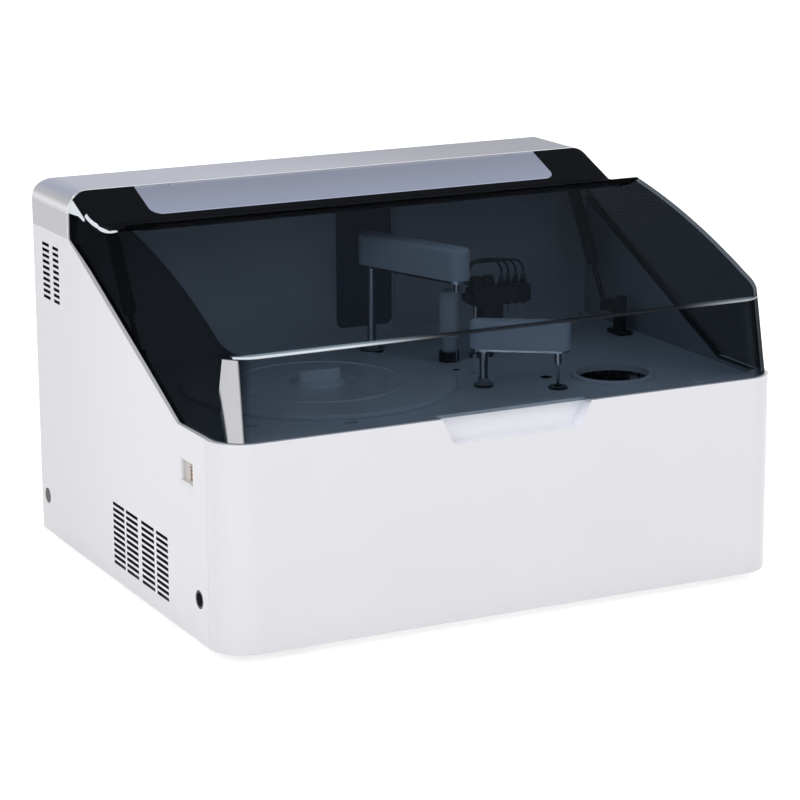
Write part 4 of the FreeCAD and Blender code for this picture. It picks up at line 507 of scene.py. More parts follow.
@dataclass(frozen=True)
class ShellPlastic(Moulded):
    """The white shell: dusty at its foot, with painted light in its recess, painted shade at its
    left side's back, in and round its slots and on its rims, and dark lining inside.
    """

    dust: float = 0.25
    dust_levels: Span = (0.004, 0.05)
    dust_shade: float = 0.72
    # The dark lining is shielding paint inside the housing and also stands for painted shade in
    # the slots and on the rims.
    dark_lining_and_shade: Colour = (0.006, 0.006, 0.007)
    lining_side: float = 0.3
    skin_side: float = 0.3494
    low_vents: Span = (-0.13, 0.045)
    low_vents_top: float = 0.115
    high_vents: Span = (0.185, 0.256)
    high_vents_levels: Span = (0.28, 0.385)
    rim_sides: Span = (0.337, 0.3452)
    rim_run: Span = (-0.165, 0.15)
    rim_foot: float = 0.243
    recess_middle: Span = (0.004, 0.224)
    recess_half: Span = (0.096, 0.0165)
    recess_run: Span = (-0.2796, -0.2612)
    recess_painted_light: float = 1.24
    ledge_painted_light: float = 1.28
    ledge_turn: float = 0.3
    back_run: Span = (-0.10, 0.27)
    back_share: float = 0.9
    back_painted_shade: float = 0.86
    slots: tuple[SlotGroup, ...] = (
        SlotGroup(((0.1947, 0.2137), (0.2259, 0.2488)), 0.3723, 0.0071, 10),
        SlotGroup(
            ((-0.126, -0.0926), (-0.0854, -0.0484), (-0.0369, -0.0018), (0.0042, 0.0385)),
            0.1043,
            0.007,
            11,
        ),
    )

    def tone(self, graph: Graph, share: Value) -> Value:
        """Colours the shell: dust at its foot, painted light in its recess, painted shade at its
        left side's back, in its slots and on its rims, dark lining inside.

        Args:
            graph: The material's tree.
            share: Its unevenness, from 0 to 1.

        Returns:
            The colour.
        """
        across, along, height = graph.axes()
        sideways, _, upward = graph.facing()
        low = (1.0 - height.rise(*self.dust_levels)) * self.cloud(graph) * self.dust
        colour = graph.blend(low, super().tone(graph, share), shade(self.colour, self.dust_shade))
        recess = abs(across - self.recess_middle[0]).below(self.recess_half[0])
        recess = recess * abs(height - self.recess_middle[1]).below(self.recess_half[1])
        recess = recess * along.within(self.recess_run)
        ledge = upward.above(self.ledge_turn) + sideways.below(-self.ledge_turn)
        # painted shade: the left side darkens towards the back
        back = along.rise(*self.back_run) * sideways.below(-0.5) * self.back_share
        # painted light: the recess is lightened against the shade that falls in it, and its ledges
        # more
        colour = graph.blend(recess * 0.5, colour, shade(self.colour, self.recess_painted_light))
        lit = recess * ledge.above(0.5)
        colour = graph.blend(lit, colour, shade(self.colour, self.ledge_painted_light))
        colour = graph.blend(back, colour, shade(self.colour, self.back_painted_shade))
        return graph.blend(self.lining_and_painted_shade(graph), colour, self.dark_lining_and_shade)

    def lining_and_painted_shade(self, graph: Graph) -> Value:
        """Marks the dark shielding paint inside the housing, and the painted shade on the slot
        walls, round the slots and on the side panels' top rims.

        Args:
            graph: The material's tree.

        Returns:
            1 on faces that look into the housing, in and round the slots and on the rims, and 0
            elsewhere.
        """
        across, along, height = graph.axes()
        to_right, to_back, _ = graph.facing()
        left = across.below(-self.lining_side) * to_right.above(0.5)
        right = across.above(self.lining_side) * to_right.below(-0.5)
        # painted shade: the vents' slot walls are dark
        low_vents = along.within(self.low_vents) * height.below(self.low_vents_top)
        high_vents = along.within(self.high_vents) * height.within(self.high_vents_levels)
        vents = (low_vents + high_vents) * abs(across).below(self.skin_side)
        inner = to_back.above(0.7) * abs(across).below(self.lining_side)
        # painted shade on the side panels' top rims under the lid
        rim = abs(across).within(self.rim_sides) * along.within(self.rim_run)
        rim = rim * height.above(self.rim_foot)
        # painted shade over the slots and a hair round them, on the outer skin
        slots = sum((group.mask(along, height) for group in self.slots), 0.0)
        slots = slots * across.below(-self.skin_side)
        return (left + right + vents + inner + rim + slots).above(0.5)


@dataclass(frozen=True)
class Sprayed(Finish):
    """Metallic paint: fine flakes in a smooth coat with a light orange peel."""

    # The side and bend colours and the near-front and edge colours are a painted reflection and
    # painted highlights; the far-side colour is painted shade.
    side: Colour
    bend_highlight: Colour
    shimmer: Colour
    far_painted_shade: Colour
    near_highlight: Colour = (0.66, 0.68, 0.76)
    edge_highlight: Colour = (0.93, 0.93, 0.95)
    metallic: float = 0.2
    roughness: float = 0.34
    flake: float = 0.0007
    flake_share: float = 0.35
    peel: float = 0.0028
    peel_relief: float = 0.00003
    cloud_size: float = 0.16
    mottle: Span = (0.94, 1.05)
    turns: tuple[float, ...] = (0.0, 0.22, 0.45, 0.8)
    roof_turn: Span = (0.6, 0.95)
    level_turn: float = 0.7
    near_run: Span = (0.175, 0.235)
    near_sides: Span = (-0.26, -0.02)
    near_share: float = 0.15
    far_sides: Span = (-0.22, 0.30)
    far_turn: float = 0.3
    far_share: float = 0.95
    front_edge: float = 0.1606
    top_edge: float = 0.1635
    coat: float = 0.25
    coat_roughness: float = 0.18

    def tone(self, graph: Graph, cloud: Value, flakes: Value) -> Value:
        """Colours the paint, with a painted reflection: lighter sides and bends, painted
        highlights near the front and at the edge, painted shade at the far side.

        Args:
            graph: The material's tree.
            cloud: The paint's broad unevenness, from 0 to 1.
            flakes: 0 in the middle of a flake, and more round it.

        Returns:
            The colour.
        """
        across, along, _ = graph.axes()
        _, _, upward = graph.facing()
        roof = graph.mottled(cloud, self.colour, self.mottle)
        # painted reflection: the colour turns with how far the surface faces up, with a painted
        # highlight on the bend
        stops = tuple(zip(self.turns, (self.side, self.bend_highlight, self.side, self.colour)))
        turning = graph.node("ShaderNodeValToRGB", {"stops": stops}, {0: upward})
        base = graph.blend(upward.rise(*self.roof_turn), turning, roof)
        flaked = graph.blend((1.0 - flakes) * self.flake_share, base, self.shimmer)
        level = upward.above(self.level_turn)
        # painted highlight near the front of the roof
        near = (1.0 - along.rise(*self.near_run)) * across.rise(*self.near_sides) * level
        flaked = graph.blend(near * self.near_share, flaked, self.near_highlight)
        # painted shade towards the far side
        far_shade = across.rise(*self.far_sides) * upward.above(self.far_turn) * self.far_share
        shaded = graph.blend(far_shade, flaked, self.far_painted_shade)
        # painted highlight along the front and top edges
        edge = along.below(self.front_edge) + along.below(self.top_edge) * level
        return graph.blend(edge.above(0.5), shaded, self.edge_highlight)

    def surface(self, graph: Graph) -> Value:
        """Makes the metallic paint.

        Args:
            graph: The material's tree.

        Returns:
            The shader.
        """
        flakes = graph.cells(self.flake).rise(0.0, 0.75)
        cloud = graph.grain(self.cloud_size, Way.ALONG_X, 3.0)
        peel = graph.grain(self.peel, detail=1.0)
        return graph.shader(
            {
                "Base Color": self.tone(graph, cloud, flakes),
                "Metallic": self.metallic + (1.0 - flakes) * 0.15,
                "Roughness": self.roughness + (cloud - 0.5) * 0.10,
                "Normal": graph.bump(peel, self.peel_relief),
                "Coat Weight": self.coat,
                "Coat Roughness": self.coat_roughness,
            }
        )


@dataclass(frozen=True)
class Drawn(Finish):
    """Brushed or turned metal, with fine lines along one direction."""

    way: Way = Way.ALONG_X
    roughness: float = 0.3
    contrast: float = 0.12
    metallic: float = 1.0
    # painted shade towards the back over a run of y, and a painted highlight along the front edge
    painted_shade_run: Span | None = None
    painted_shade_factor: float = 0.8
    edge_width: float = 0.0014
    edge_highlight_factor: float = 1.9
    line: float = 0.0006
    line_relief: float = 0.00002
    broad: float = 0.0084
    smear: float = 0.07
    line_share: float = 0.6

    def surface(self, graph: Graph) -> Value:
        """Makes the brushed metal, with painted shade towards the back and a painted highlight
        along the front edge where a run is given.

        Args:
            graph: The material's tree.

        Returns:
            The shader.
        """
        lines = graph.grain(self.line, self.way, 4.0)
        broad = graph.grain(self.broad, self.way, 2.0)
        smear = graph.grain(self.smear, detail=3.0)
        share = lines * self.line_share + broad * (1.0 - self.line_share)
        ends = (1.0 - self.contrast, 1.0 + self.contrast * 0.5)
        colour = graph.mottled(share, self.colour, ends, (0.2, 0.8))
        if self.painted_shade_run:
            _, along, _ = graph.axes()
            # painted highlight along the front edge, and painted shade towards the back
            edge = along.below(self.painted_shade_run[0] + self.edge_width) * 0.8
            shaded_back = shade(self.colour, self.painted_shade_factor)
            colour = graph.blend(along.rise(*self.painted_shade_run), colour, shaded_back)
            colour = graph.blend(edge, colour, shade(self.colour, self.edge_highlight_factor))
        return graph.shader(
            {
                "Base Color": colour,
                "Metallic": self.metallic,
                "Roughness": self.roughness + (share - 0.5) * 0.22 + (smear - 0.5) * 0.12,
                "Normal": graph.bump(lines, self.line_relief),
            }
        )


@dataclass(frozen=True)
class Polished(Finish):
    """Ground and chromed rod: dark sides, one painted highlight streak, faint drawn rings and
    smears.
    """

    streak_highlight: Colour = (0.88, 0.89, 0.92)
    streak_way: Span = (-0.64, -0.77)
    streak_edge: Span = (0.90, 0.98)
    metallic: float = 0.85
    roughness: float = 0.16
    smear: float = 0.03
    ring: float = 0.0009
    ring_relief: float = 0.000008

    def surface(self, graph: Graph) -> Value:
        """Makes the polished metal.

        Args:
            graph: The material's tree.

        Returns:
            The shader.
        """
        smear = graph.grain(self.smear, detail=4.0)
        rings = graph.grain(self.ring, Way.ALONG_X, 2.0)
        to_right, to_back, _ = graph.facing()
        # painted highlight: a streak on the side that faces one way
        turn = to_right * self.streak_way[0] + to_back * self.streak_way[1]
        dull = graph.mottled(smear, self.colour, (1.0, 0.9), (0.35, 0.75))
        return graph.shader(
            {
                "Base Color": graph.blend(turn.rise(*self.streak_edge), dull, self.streak_highlight),
                "Metallic": self.metallic,
                "Roughness": self.roughness + (smear - 0.4) * 0.12,
                "Normal": graph.bump(rings, self.ring_relief),
            }
        )


@dataclass(frozen=True)
class Knee:
    """The painted highlight line along the bend across the lid's front, broad at the left and fine
    in the middle.
    """

    height: float = 0.3345
    half_width: float = 0.326
    back: float = -0.245
    broad: float = 0.0017
    taper: float = 0.0003
    taper_run: Span = (-0.30, -0.06)
    soft: Span = (0.35, 1.0)
    dim_run: Span = (-0.20, -0.07)
    bright_run: Span = (0.21, 0.31)
    bright_share: float = 0.6

    def mask(self, across: Value, along: Value, height: Value) -> Value:
        """Marks the bend's painted line.

        Args:
            across: The point's x.
            along: The point's y.
            height: The point's z.

        Returns:
            1 on the bend and 0 off it.
        """
        width = self.broad - across.rise(*self.taper_run) * self.taper
        line = 1.0 - (abs(height - self.height) / width).rise(*self.soft)
        return line * along.below(self.back) * abs(across).below(self.half_width)

    def glint(self, across: Value) -> Value:
        """Returns how bright the bend's painted highlight is along its length, from 0 to 1, with a
        painted dark line where it is 0.
        """
        return 1.0 - across.rise(*self.dim_run) + across.rise(*self.bright_run) * self.bright_share


@dataclass(frozen=True)
class CornerBend:
    """The painted reflection on the upright bend at the left end of the lid's front."""

    top: float = 0.3345
    gap: float = 0.0025
    back: float = -0.25
    lean: float = 0.045
    lean_run: Span = (-0.338, -0.325)
    outer: Span = (-0.3400, -0.3378)
    inner: Span = (-0.3232, -0.3206)

    def mask(self, across: Value, along: Value, height: Value) -> Value:
        """Marks the bend.

        Args:
            across: The point's x.
            along: The point's y.
            height: The point's z.

        Returns:
            1 on the bend and 0 off it.
        """
        lean = (self.top - height) * self.lean * (1.0 - across.rise(*self.lean_run))
        sides = (across - lean).rise(*self.outer) * (1.0 - across.rise(*self.inner))
        return sides * along.below(self.back) * height.below(self.top - self.gap)


@dataclass(frozen=True)
class EndRim:
    """The painted highlight on the rim at the left end of the lid's back form: edge, wedge and
    valley line.
    """

    side: float = -0.3435
    edge_turn: float = 0.25
    edge_front: float = 0.119
    edge_foot: float = 0.41
    wedge_front: float = 0.09
    wedge_foot: float = 0.4222
    wedge_top: float = 0.432
    wedge_back: float = 0.157
    wedge_slope: float = 0.06
    line_side: float = -0.3372
    line_run: Span = (0.022, 0.122)
    line_width: float = 0.0032
    valley: float = 0.0727
    valley_foot: float = 0.4137
    valley_rise: float = 4.04

    def mask(self, across: Value, along: Value, height: Value, upward: Value) -> Value:
        """Marks the rim.

        Args:
            across: The point's x.
            along: The point's y.
            height: The point's z.
            upward: How far the surface faces up.

        Returns:
            More than 0.5 on the rim, and 0 off it.
        """
        end = across.below(self.side)
        edge = end * upward.above(self.edge_turn) * height.above(self.edge_foot)
        edge = edge * along.above(self.edge_front)
        top = self.wedge_top + (self.wedge_back - along) * self.wedge_slope
        wedge = end * height.above(self.wedge_foot) * height.below(top)
        wedge = wedge * along.above(self.wedge_front)
        dip = along - self.valley
        low = self.valley_foot + dip * dip * self.valley_rise
        line = across.below(self.line_side) * height.above(low)
        line = line * (height - low).below(self.line_width) * along.within(self.line_run)
        return edge + wedge + line


@dataclass(frozen=True)
class Tinted(Finish):
    """Smoked clear acrylic: see-through in front, backed behind, with painted highlights where
    bent or cut, a painted reflection at the left corner and painted shade at the sides.
    """

    knee: Knee = Knee()
    corner: CornerBend = CornerBend()
    rim: EndRim = EndRim()
    # The pale colour is the painted highlight on the bends and the rim, the dark colour is the
    # painted dark line on the knee, and the corner colour is a painted reflection.
    pale: Colour = (0.72, 0.77, 0.82)
    painted_dark_line: Colour = (0.012, 0.014, 0.018)
    silver: Colour = (0.25, 0.27, 0.35)
    opaque: Colour = (0.006, 0.007, 0.009)
    corner_reflection: Colour = (0.60, 0.60, 0.63)
    mirror_colour: Colour = (0.84, 0.90, 0.98)
    refraction: float = 1.49
    gloss: float = 0.02
    opaque_gloss: float = 0.035
    right_painted_shade: float = 0.27
    left_painted_shade: float = 0.5
    side_turn: Span = (0.2, 0.7)
    level_turn: float = 0.35
    cloud_size: float = 0.22
    smear: float = 0.05
    corner_share: float = 0.9
    ridge: float = 0.014
    seam_front: float = 0.1525
    seam_half: float = 0.267

    def pane(self, graph: Graph, across: Value) -> Value:
        """Makes the see-through part, with painted shade at the sides, heavier at the right than
        at the left.

        Args:
            graph: The material's tree.
            across: The point's x.

        Returns:
            The shader, without its gloss.
        """
        sideways, _, _ = graph.facing()
        cloud = graph.grain(self.cloud_size, detail=2.0)
        # painted shade: the sides are darker, the right more than the left
        right, left = (shade(self.colour, self.right_painted_shade), shade(self.colour, self.left_painted_shade))
        side = graph.blend(across.below(0.0), right, left)
        front = graph.mottled(cloud, self.colour, (1.0, 1.06))
        return graph.clear(graph.blend(abs(sideways).rise(*self.side_turn), front, side))

    def knee_highlight(self, graph: Graph, at: tuple[Value, Value, Value], pane: Value) -> Value:
        """Lays the painted highlight line of the front's bend over the pane, with a painted dark
        line where it dims.

        Args:
            graph: The material's tree.
            at: The point's x, y and z.
            pane: The pane's shader.

        Returns:
            The shader with the line.
        """
        glint = self.knee.glint(at[0])
        # painted highlight on the bend, turning to a painted dark line where it dims
        painted_knee = graph.shader(
            {
                "Base Color": graph.blend(glint, self.painted_dark_line, self.pale),
                "Roughness": 0.3,
                "Specular IOR Level": 0.06,
            }
        )
        return graph.mix(self.knee.mask(*at) * (0.88 + glint * 0.07), pane, painted_knee)

    def surface(self, graph: Graph) -> Value:
        """Makes the acrylic, with painted highlights and a painted reflection on its bends, its
        opaque back, a painted highlight on its rim, and its seam.

        Args:
            graph: The material's tree.

        Returns:
            The shader.
        """
        at = graph.axes()
        across, along, _ = at
        _, _, upward = graph.facing()
        smear = graph.grain(self.smear, detail=4.0)
        gloss = graph.fresnel(self.refraction)
        mirror = graph.mirror(self.mirror_colour, 0.035 + smear.rise(0.5, 0.85) * 0.03)
        pane = graph.mix(gloss * self.gloss, self.pane(graph, across), mirror)
        # painted reflection on the left corner bend
        painted_reflection = graph.shader(
            {"Base Color": rgba(self.corner_reflection), "Roughness": 0.25 + smear * 0.1}
        )
        corner = self.corner.mask(*at) * self.corner_share
        cornered = graph.mix(corner, self.knee_highlight(graph, at, pane), painted_reflection)
        black = graph.shader(
            {
                "Base Color": rgba(self.opaque),
                "Roughness": 0.5 + smear * 0.08,
                "Specular IOR Level": 0.0,
            }
        )
        backed = graph.mix(gloss * self.opaque_gloss, black, mirror)
        back = along.above(self.ridge) * abs(upward).above(self.level_turn)
        seam = along.above(self.seam_front) * abs(across).below(self.seam_half)
        seam = seam * upward.above(self.level_turn)
        # painted highlight on the left end's rim; the seam takes the plate's silver
        rim_highlight_and_seam = graph.shader(
            {
                "Base Color": graph.blend(seam, self.pale, self.silver),
                "Roughness": 0.3 + smear * 0.1,
            }
        )
        marks = (self.rim.mask(*at, upward) + seam).above(0.5)
        return graph.mix(marks, graph.mix(back, cornered, backed), rim_highlight_and_seam)


@dataclass(frozen=True)
class Lacquered(Finish):
    """Black lacquer with a deep, faint gloss."""

    gloss: float = 0.05
    roughness: float = 0.12
    smear: float = 0.06
    refraction: float = 1.5
    mirror_colour: Colour = (0.9, 0.93, 0.98)

    def surface(self, graph: Graph) -> Value:
        """Makes the lacquer, with smears in its gloss.

        Args:
            graph: The material's tree.

        Returns:
            The shader.
        """
        smear = graph.grain(self.smear, detail=4.0)
        body = graph.mottled(smear, self.colour, (1.0, 1.25))
        black = graph.shader({"Base Color": body, "Roughness": 0.5, "Specular IOR Level": 0.0})
        roughness = self.roughness + smear.rise(0.4, 0.8) * 0.08
        mirror = graph.mirror(self.mirror_colour, roughness)
        return graph.mix(graph.fresnel(self.refraction) * self.gloss, black, mirror)


@dataclass(frozen=True)
class Banded(Finish):
    """Moulded plastic in two colours, one below a height and one above it."""

    upper: Colour
    split: float = 0.2388
    split_width: float = 0.0004
    column_foot: Span = (0.0616, -0.008)
    foot_half: float = 0.016
    foot_top: float = 0.3
    roughness: float = 0.4
    skin: float = 0.0009
    relief: float = 0.00003
    cloud_size: float = 0.01

    def surface(self, graph: Graph) -> Value:
        """Makes the two-coloured plastic; the rinse column's foot keeps the lower colour.

        Args:
            graph: The material's tree.

        Returns:
            The shader.
        """
        across, along, height = graph.axes()
        cloud = graph.grain(self.cloud_size, detail=3.0)
        fine = graph.grain(self.skin, detail=2.0)
        low = graph.mottled(cloud, self.colour, (1.0, 1.2))
        high = graph.mottled(cloud, self.upper, (1.0, 0.93))
        foot = abs(across - self.column_foot[0]).below(self.foot_half)
        foot = foot * abs(along - self.column_foot[1]).below(self.foot_half)
        foot = foot * height.below(self.foot_top)
        share = height.rise(self.split, self.split + self.split_width) * (1.0 - foot)
        return graph.shader(
            {
                "Base Color": graph.blend(share, low, high),
                "Roughness": self.roughness + (cloud - 0.5) * 0.12,
                "Normal": graph.bump(fine, self.relief),
            }
        )


@dataclass(frozen=True)
class Clear(Finish):
    """Clear or milky plastic of small parts, seen through in part."""

    solid: float
    edge_share: float = 0.7
    edge_blend: float = 0.35
    roughness: float = 0.12
    cloud_size: float = 0.012
    relief: float = 0.00004

    def surface(self, graph: Graph) -> Value:
        """Makes the see-through plastic, more solid at its edges.

        Args:
            graph: The material's tree.

        Returns:
            The shader.
        """
        cloud = graph.grain(self.cloud_size, detail=3.0)
        tint = graph.mottled(cloud, self.colour, (1.0, 0.94))
        body = graph.shader(
            {
                "Base Color": tint,
                "Roughness": self.roughness + (cloud - 0.5) * 0.1,
                "Normal": graph.bump(cloud, self.relief),
            }
        )
        edge = graph.node("ShaderNodeLayerWeight", {}, {"Blend": self.edge_blend}, "Facing")
        share = self.solid + edge * (1.0 - self.solid) * self.edge_share
        return graph.mix(share, graph.clear(tint), body)


@dataclass(frozen=True)
class Filled(Finish):
    """Milky bottles with dark caps, and the liquid showing through their lower part."""

    liquid: Colour = (0.62, 0.60, 0.46)
    level: float = 0.180
    level_half: float = 0.001
    cap: Colour = (0.10, 0.12, 0.16)
    cap_level: float = 0.196
    cap_edge: float = 0.0006
    roughness: float = 0.36
    skin: float = 0.0012
    relief: float = 0.00003
    cloud_size: float = 0.02

    def surface(self, graph: Graph) -> Value:
        """Makes the bottle plastic.

        Args:
            graph: The material's tree.

        Returns:
            The shader.
        """
        _, _, height = graph.axes()
        cloud = graph.grain(self.cloud_size, detail=3.0)
        fine = graph.grain(self.skin, detail=2.0)
        wall = graph.mottled(cloud, self.colour, (1.0, 0.95))
        empty = height.rise(self.level - self.level_half, self.level + self.level_half)
        full = graph.blend(1.0 - empty, wall, self.liquid)
        capped = height.rise(self.cap_level, self.cap_level + self.cap_edge)
        return graph.shader(
            {
                "Base Color": graph.blend(capped, full, self.cap),
                "Roughness": self.roughness + (cloud - 0.5) * 0.2,
                "Normal": graph.bump(fine, self.relief),
            }
        )


@dataclass(frozen=True)
class Printed(Finish):
    """A circuit board: solder mask over copper tracks, with pads and chips."""

    track: Colour = (0.12, 0.36, 0.20)
    chip: Colour = (0.02, 0.02, 0.022)
    track_pitch: float = 0.0034
    chip_pitch: float = 0.03
    patch: float = 0.028
    wobble: float = 0.006
    relief: float = 0.00006
    roughness: float = 0.3

    def surface(self, graph: Graph) -> Value:
        """Makes the board's finish.

        Args:
            graph: The material's tree.

        Returns:
            The shader.
        """
        across, _, height = graph.axes()
        wobble = graph.grain(0.03, detail=1.0) * self.wobble
        upright = self.stripes(across + wobble, self.track_pitch)
        level = self.stripes(height + wobble, self.track_pitch)
        patch = graph.cells(self.patch).rise(0.30, 0.34)
        tracks = upright * patch + level * (1.0 - patch)
        mask = graph.blend(tracks * 0.8, self.colour, self.track)
        columns = self.stripes(across, self.chip_pitch, 0.62)
        chips = columns * self.stripes(height, self.chip_pitch, 0.55)
        return graph.shader(
            {
                "Base Color": graph.blend(chips * 0.95, mask, self.chip),
                "Roughness": self.roughness + tracks * 0.12,
                "Normal": graph.bump(tracks, self.relief),
            }
        )

    @staticmethod
    def stripes(value: Value, pitch: float, level: float = 0.5) -> Value:
        """Makes stripes from a length.

        Args:
            value: The length that the stripes cross.
            pitch: Their spacing in metres.
            level: How narrow they are, from 0 to 1.

        Returns:
            1 on a stripe and 0 between.
        """
        return (value.folded(pitch) / (pitch / 2.0)).above(level)


@dataclass(frozen=True)
class Pinned(Finish):
    """A dark contact block with gilt contacts across it."""

    gilt: Colour = (0.72, 0.50, 0.27)
    pitch: float = 0.0046
    half_share: float = 0.17
    roughness: float = 0.45
    skin: float = 0.0011
    relief: float = 0.00004

    def surface(self, graph: Graph) -> Value:
        """Makes the dark block with its gilt contacts.

        Args:
            graph: The material's tree.

        Returns:
            The shader.
        """
        _, _, height = graph.axes()
        fine = graph.grain(self.skin, detail=2.0)
        contact = height.folded(self.pitch).below(self.pitch * self.half_share)
        block = graph.blend(fine, self.colour, shade(self.colour, 1.5))
        return graph.shader(
            {
                "Base Color": graph.blend(contact, block, self.gilt),
                "Metallic": contact,
                "Roughness": self.roughness - contact * 0.15,
                "Normal": graph.bump(fine, self.relief),
            }
        )


WHITE_SHELL = ShellPlastic(
    "white_shell", from_screen(228, 228, 233), roughness=0.36, mottle=0.012, coat=0.15
)
# The hood's side and bend colours are a painted reflection and highlight, and its far-side colour
# is painted shade.
HOOD_SILVER = Sprayed(
    "hood_silver",
    from_screen(134, 139, 160),
    side=from_screen(172, 170, 176),
    bend_highlight=from_screen(232, 231, 232),
    shimmer=from_screen(160, 163, 182),
    far_painted_shade=from_screen(92, 97, 116),
)
LID_TINT = Tinted("lid_tint", (0.52, 0.563, 0.605))
# The plate carries painted shade towards its back and a painted highlight along its front edge.
PLATE_SILVER = Drawn(
    "plate_silver",
    from_screen(139, 146, 168),
    roughness=0.42,
    contrast=0.05,
    metallic=0.3,
    painted_shade_run=(0.0997, 0.152),
)
STRUT_BLACK = Moulded("strut_black", (0.01, 0.01, 0.012), roughness=0.4, mottle=0.15)
HINGE_GREY = Moulded("hinge_grey", (0.26, 0.28, 0.36), roughness=0.4, mottle=0.04)
BLACK_PLASTIC = Moulded("black_plastic", (0.022, 0.022, 0.026), roughness=0.48, mottle=0.12)
GLOSS_BLACK = Lacquered("gloss_black", (0.006, 0.007, 0.009))
DECK_PAINT = Moulded("deck_paint", from_screen(222, 224, 228), roughness=0.42, mottle=0.02)
LINER_PAINT = Moulded("liner_paint", from_screen(150, 152, 158), roughness=0.5, mottle=0.02)
WALL_PAINT = Moulded("wall_paint", from_screen(192, 192, 196), roughness=0.5, mottle=0.02)
COVER_PAINT = Moulded("cover_paint", from_screen(180, 183, 192), roughness=0.45, mottle=0.02)
WINDOW_DARK = Lacquered("window_dark", (0.05, 0.06, 0.10))
ARM_PLASTIC = Moulded("arm_plastic", from_screen(205, 209, 218), roughness=0.4, mottle=0.02)
BRUSHED = Drawn("brushed_sheet", (0.62, 0.62, 0.63), roughness=0.32)
TURNED = Drawn("turned_steel", (0.68, 0.68, 0.69), Way.ALONG_Z, roughness=0.26)
CHROMED = Polished("chromed_rod", (0.13, 0.135, 0.15))
FOOT_RUBBER = Moulded("foot_rubber", (0.03, 0.03, 0.031), roughness=0.75, relief=0.00012)
COLUMN_PLASTIC = Clear("column_plastic", (0.86, 0.89, 0.92), solid=0.55)
CUVETTE_PLASTIC = Clear("cuvette_plastic", (0.86, 0.90, 0.94), solid=0.25)
BOTTLE_PLASTIC = Filled("bottle_plastic", from_screen(222, 224, 222))
COVER_PLASTIC = Moulded("cover_plastic", from_screen(234, 236, 240), roughness=0.3, coat=0.2)
COLLAR_PLASTIC = Banded("collar_plastic", (0.014, 0.014, 0.017), upper=(0.27, 0.28, 0.31))
REAR_PAINT = Moulded("rear_paint", from_screen(214, 214, 217), roughness=0.5, relief=0.00008)
BOARD_MASK = Printed("board_mask", (0.02, 0.14, 0.06))
HOSE_RUBBER = Moulded("hose_rubber", (0.03, 0.03, 0.034), roughness=0.42, mottle=0.15)
PORT_NICKEL = Drawn("port_nickel", (0.60, 0.58, 0.53), Way.ALONG_Y, roughness=0.25)
CONTACT_BLOCK = Pinned("contact_block", (0.085, 0.04, 0.028))
SOCKET_FACE = Moulded("socket_face", from_screen(196, 191, 188), roughness=0.42, mottle=0.03)
SOCKET_FRAME = Moulded("socket_frame", from_screen(240, 240, 241), roughness=0.34, mottle=0.01)
HEAD_PLASTIC = Moulded("head_plastic", (0.012, 0.013, 0.017), roughness=0.45, mottle=0.2)
KNOB_BLACK = Moulded("knob_black", (0.11, 0.11, 0.125), roughness=0.35, mottle=0.2, coat=0.2)


Coats = tuple[tuple[Finish, tuple[str, ...]], ...]


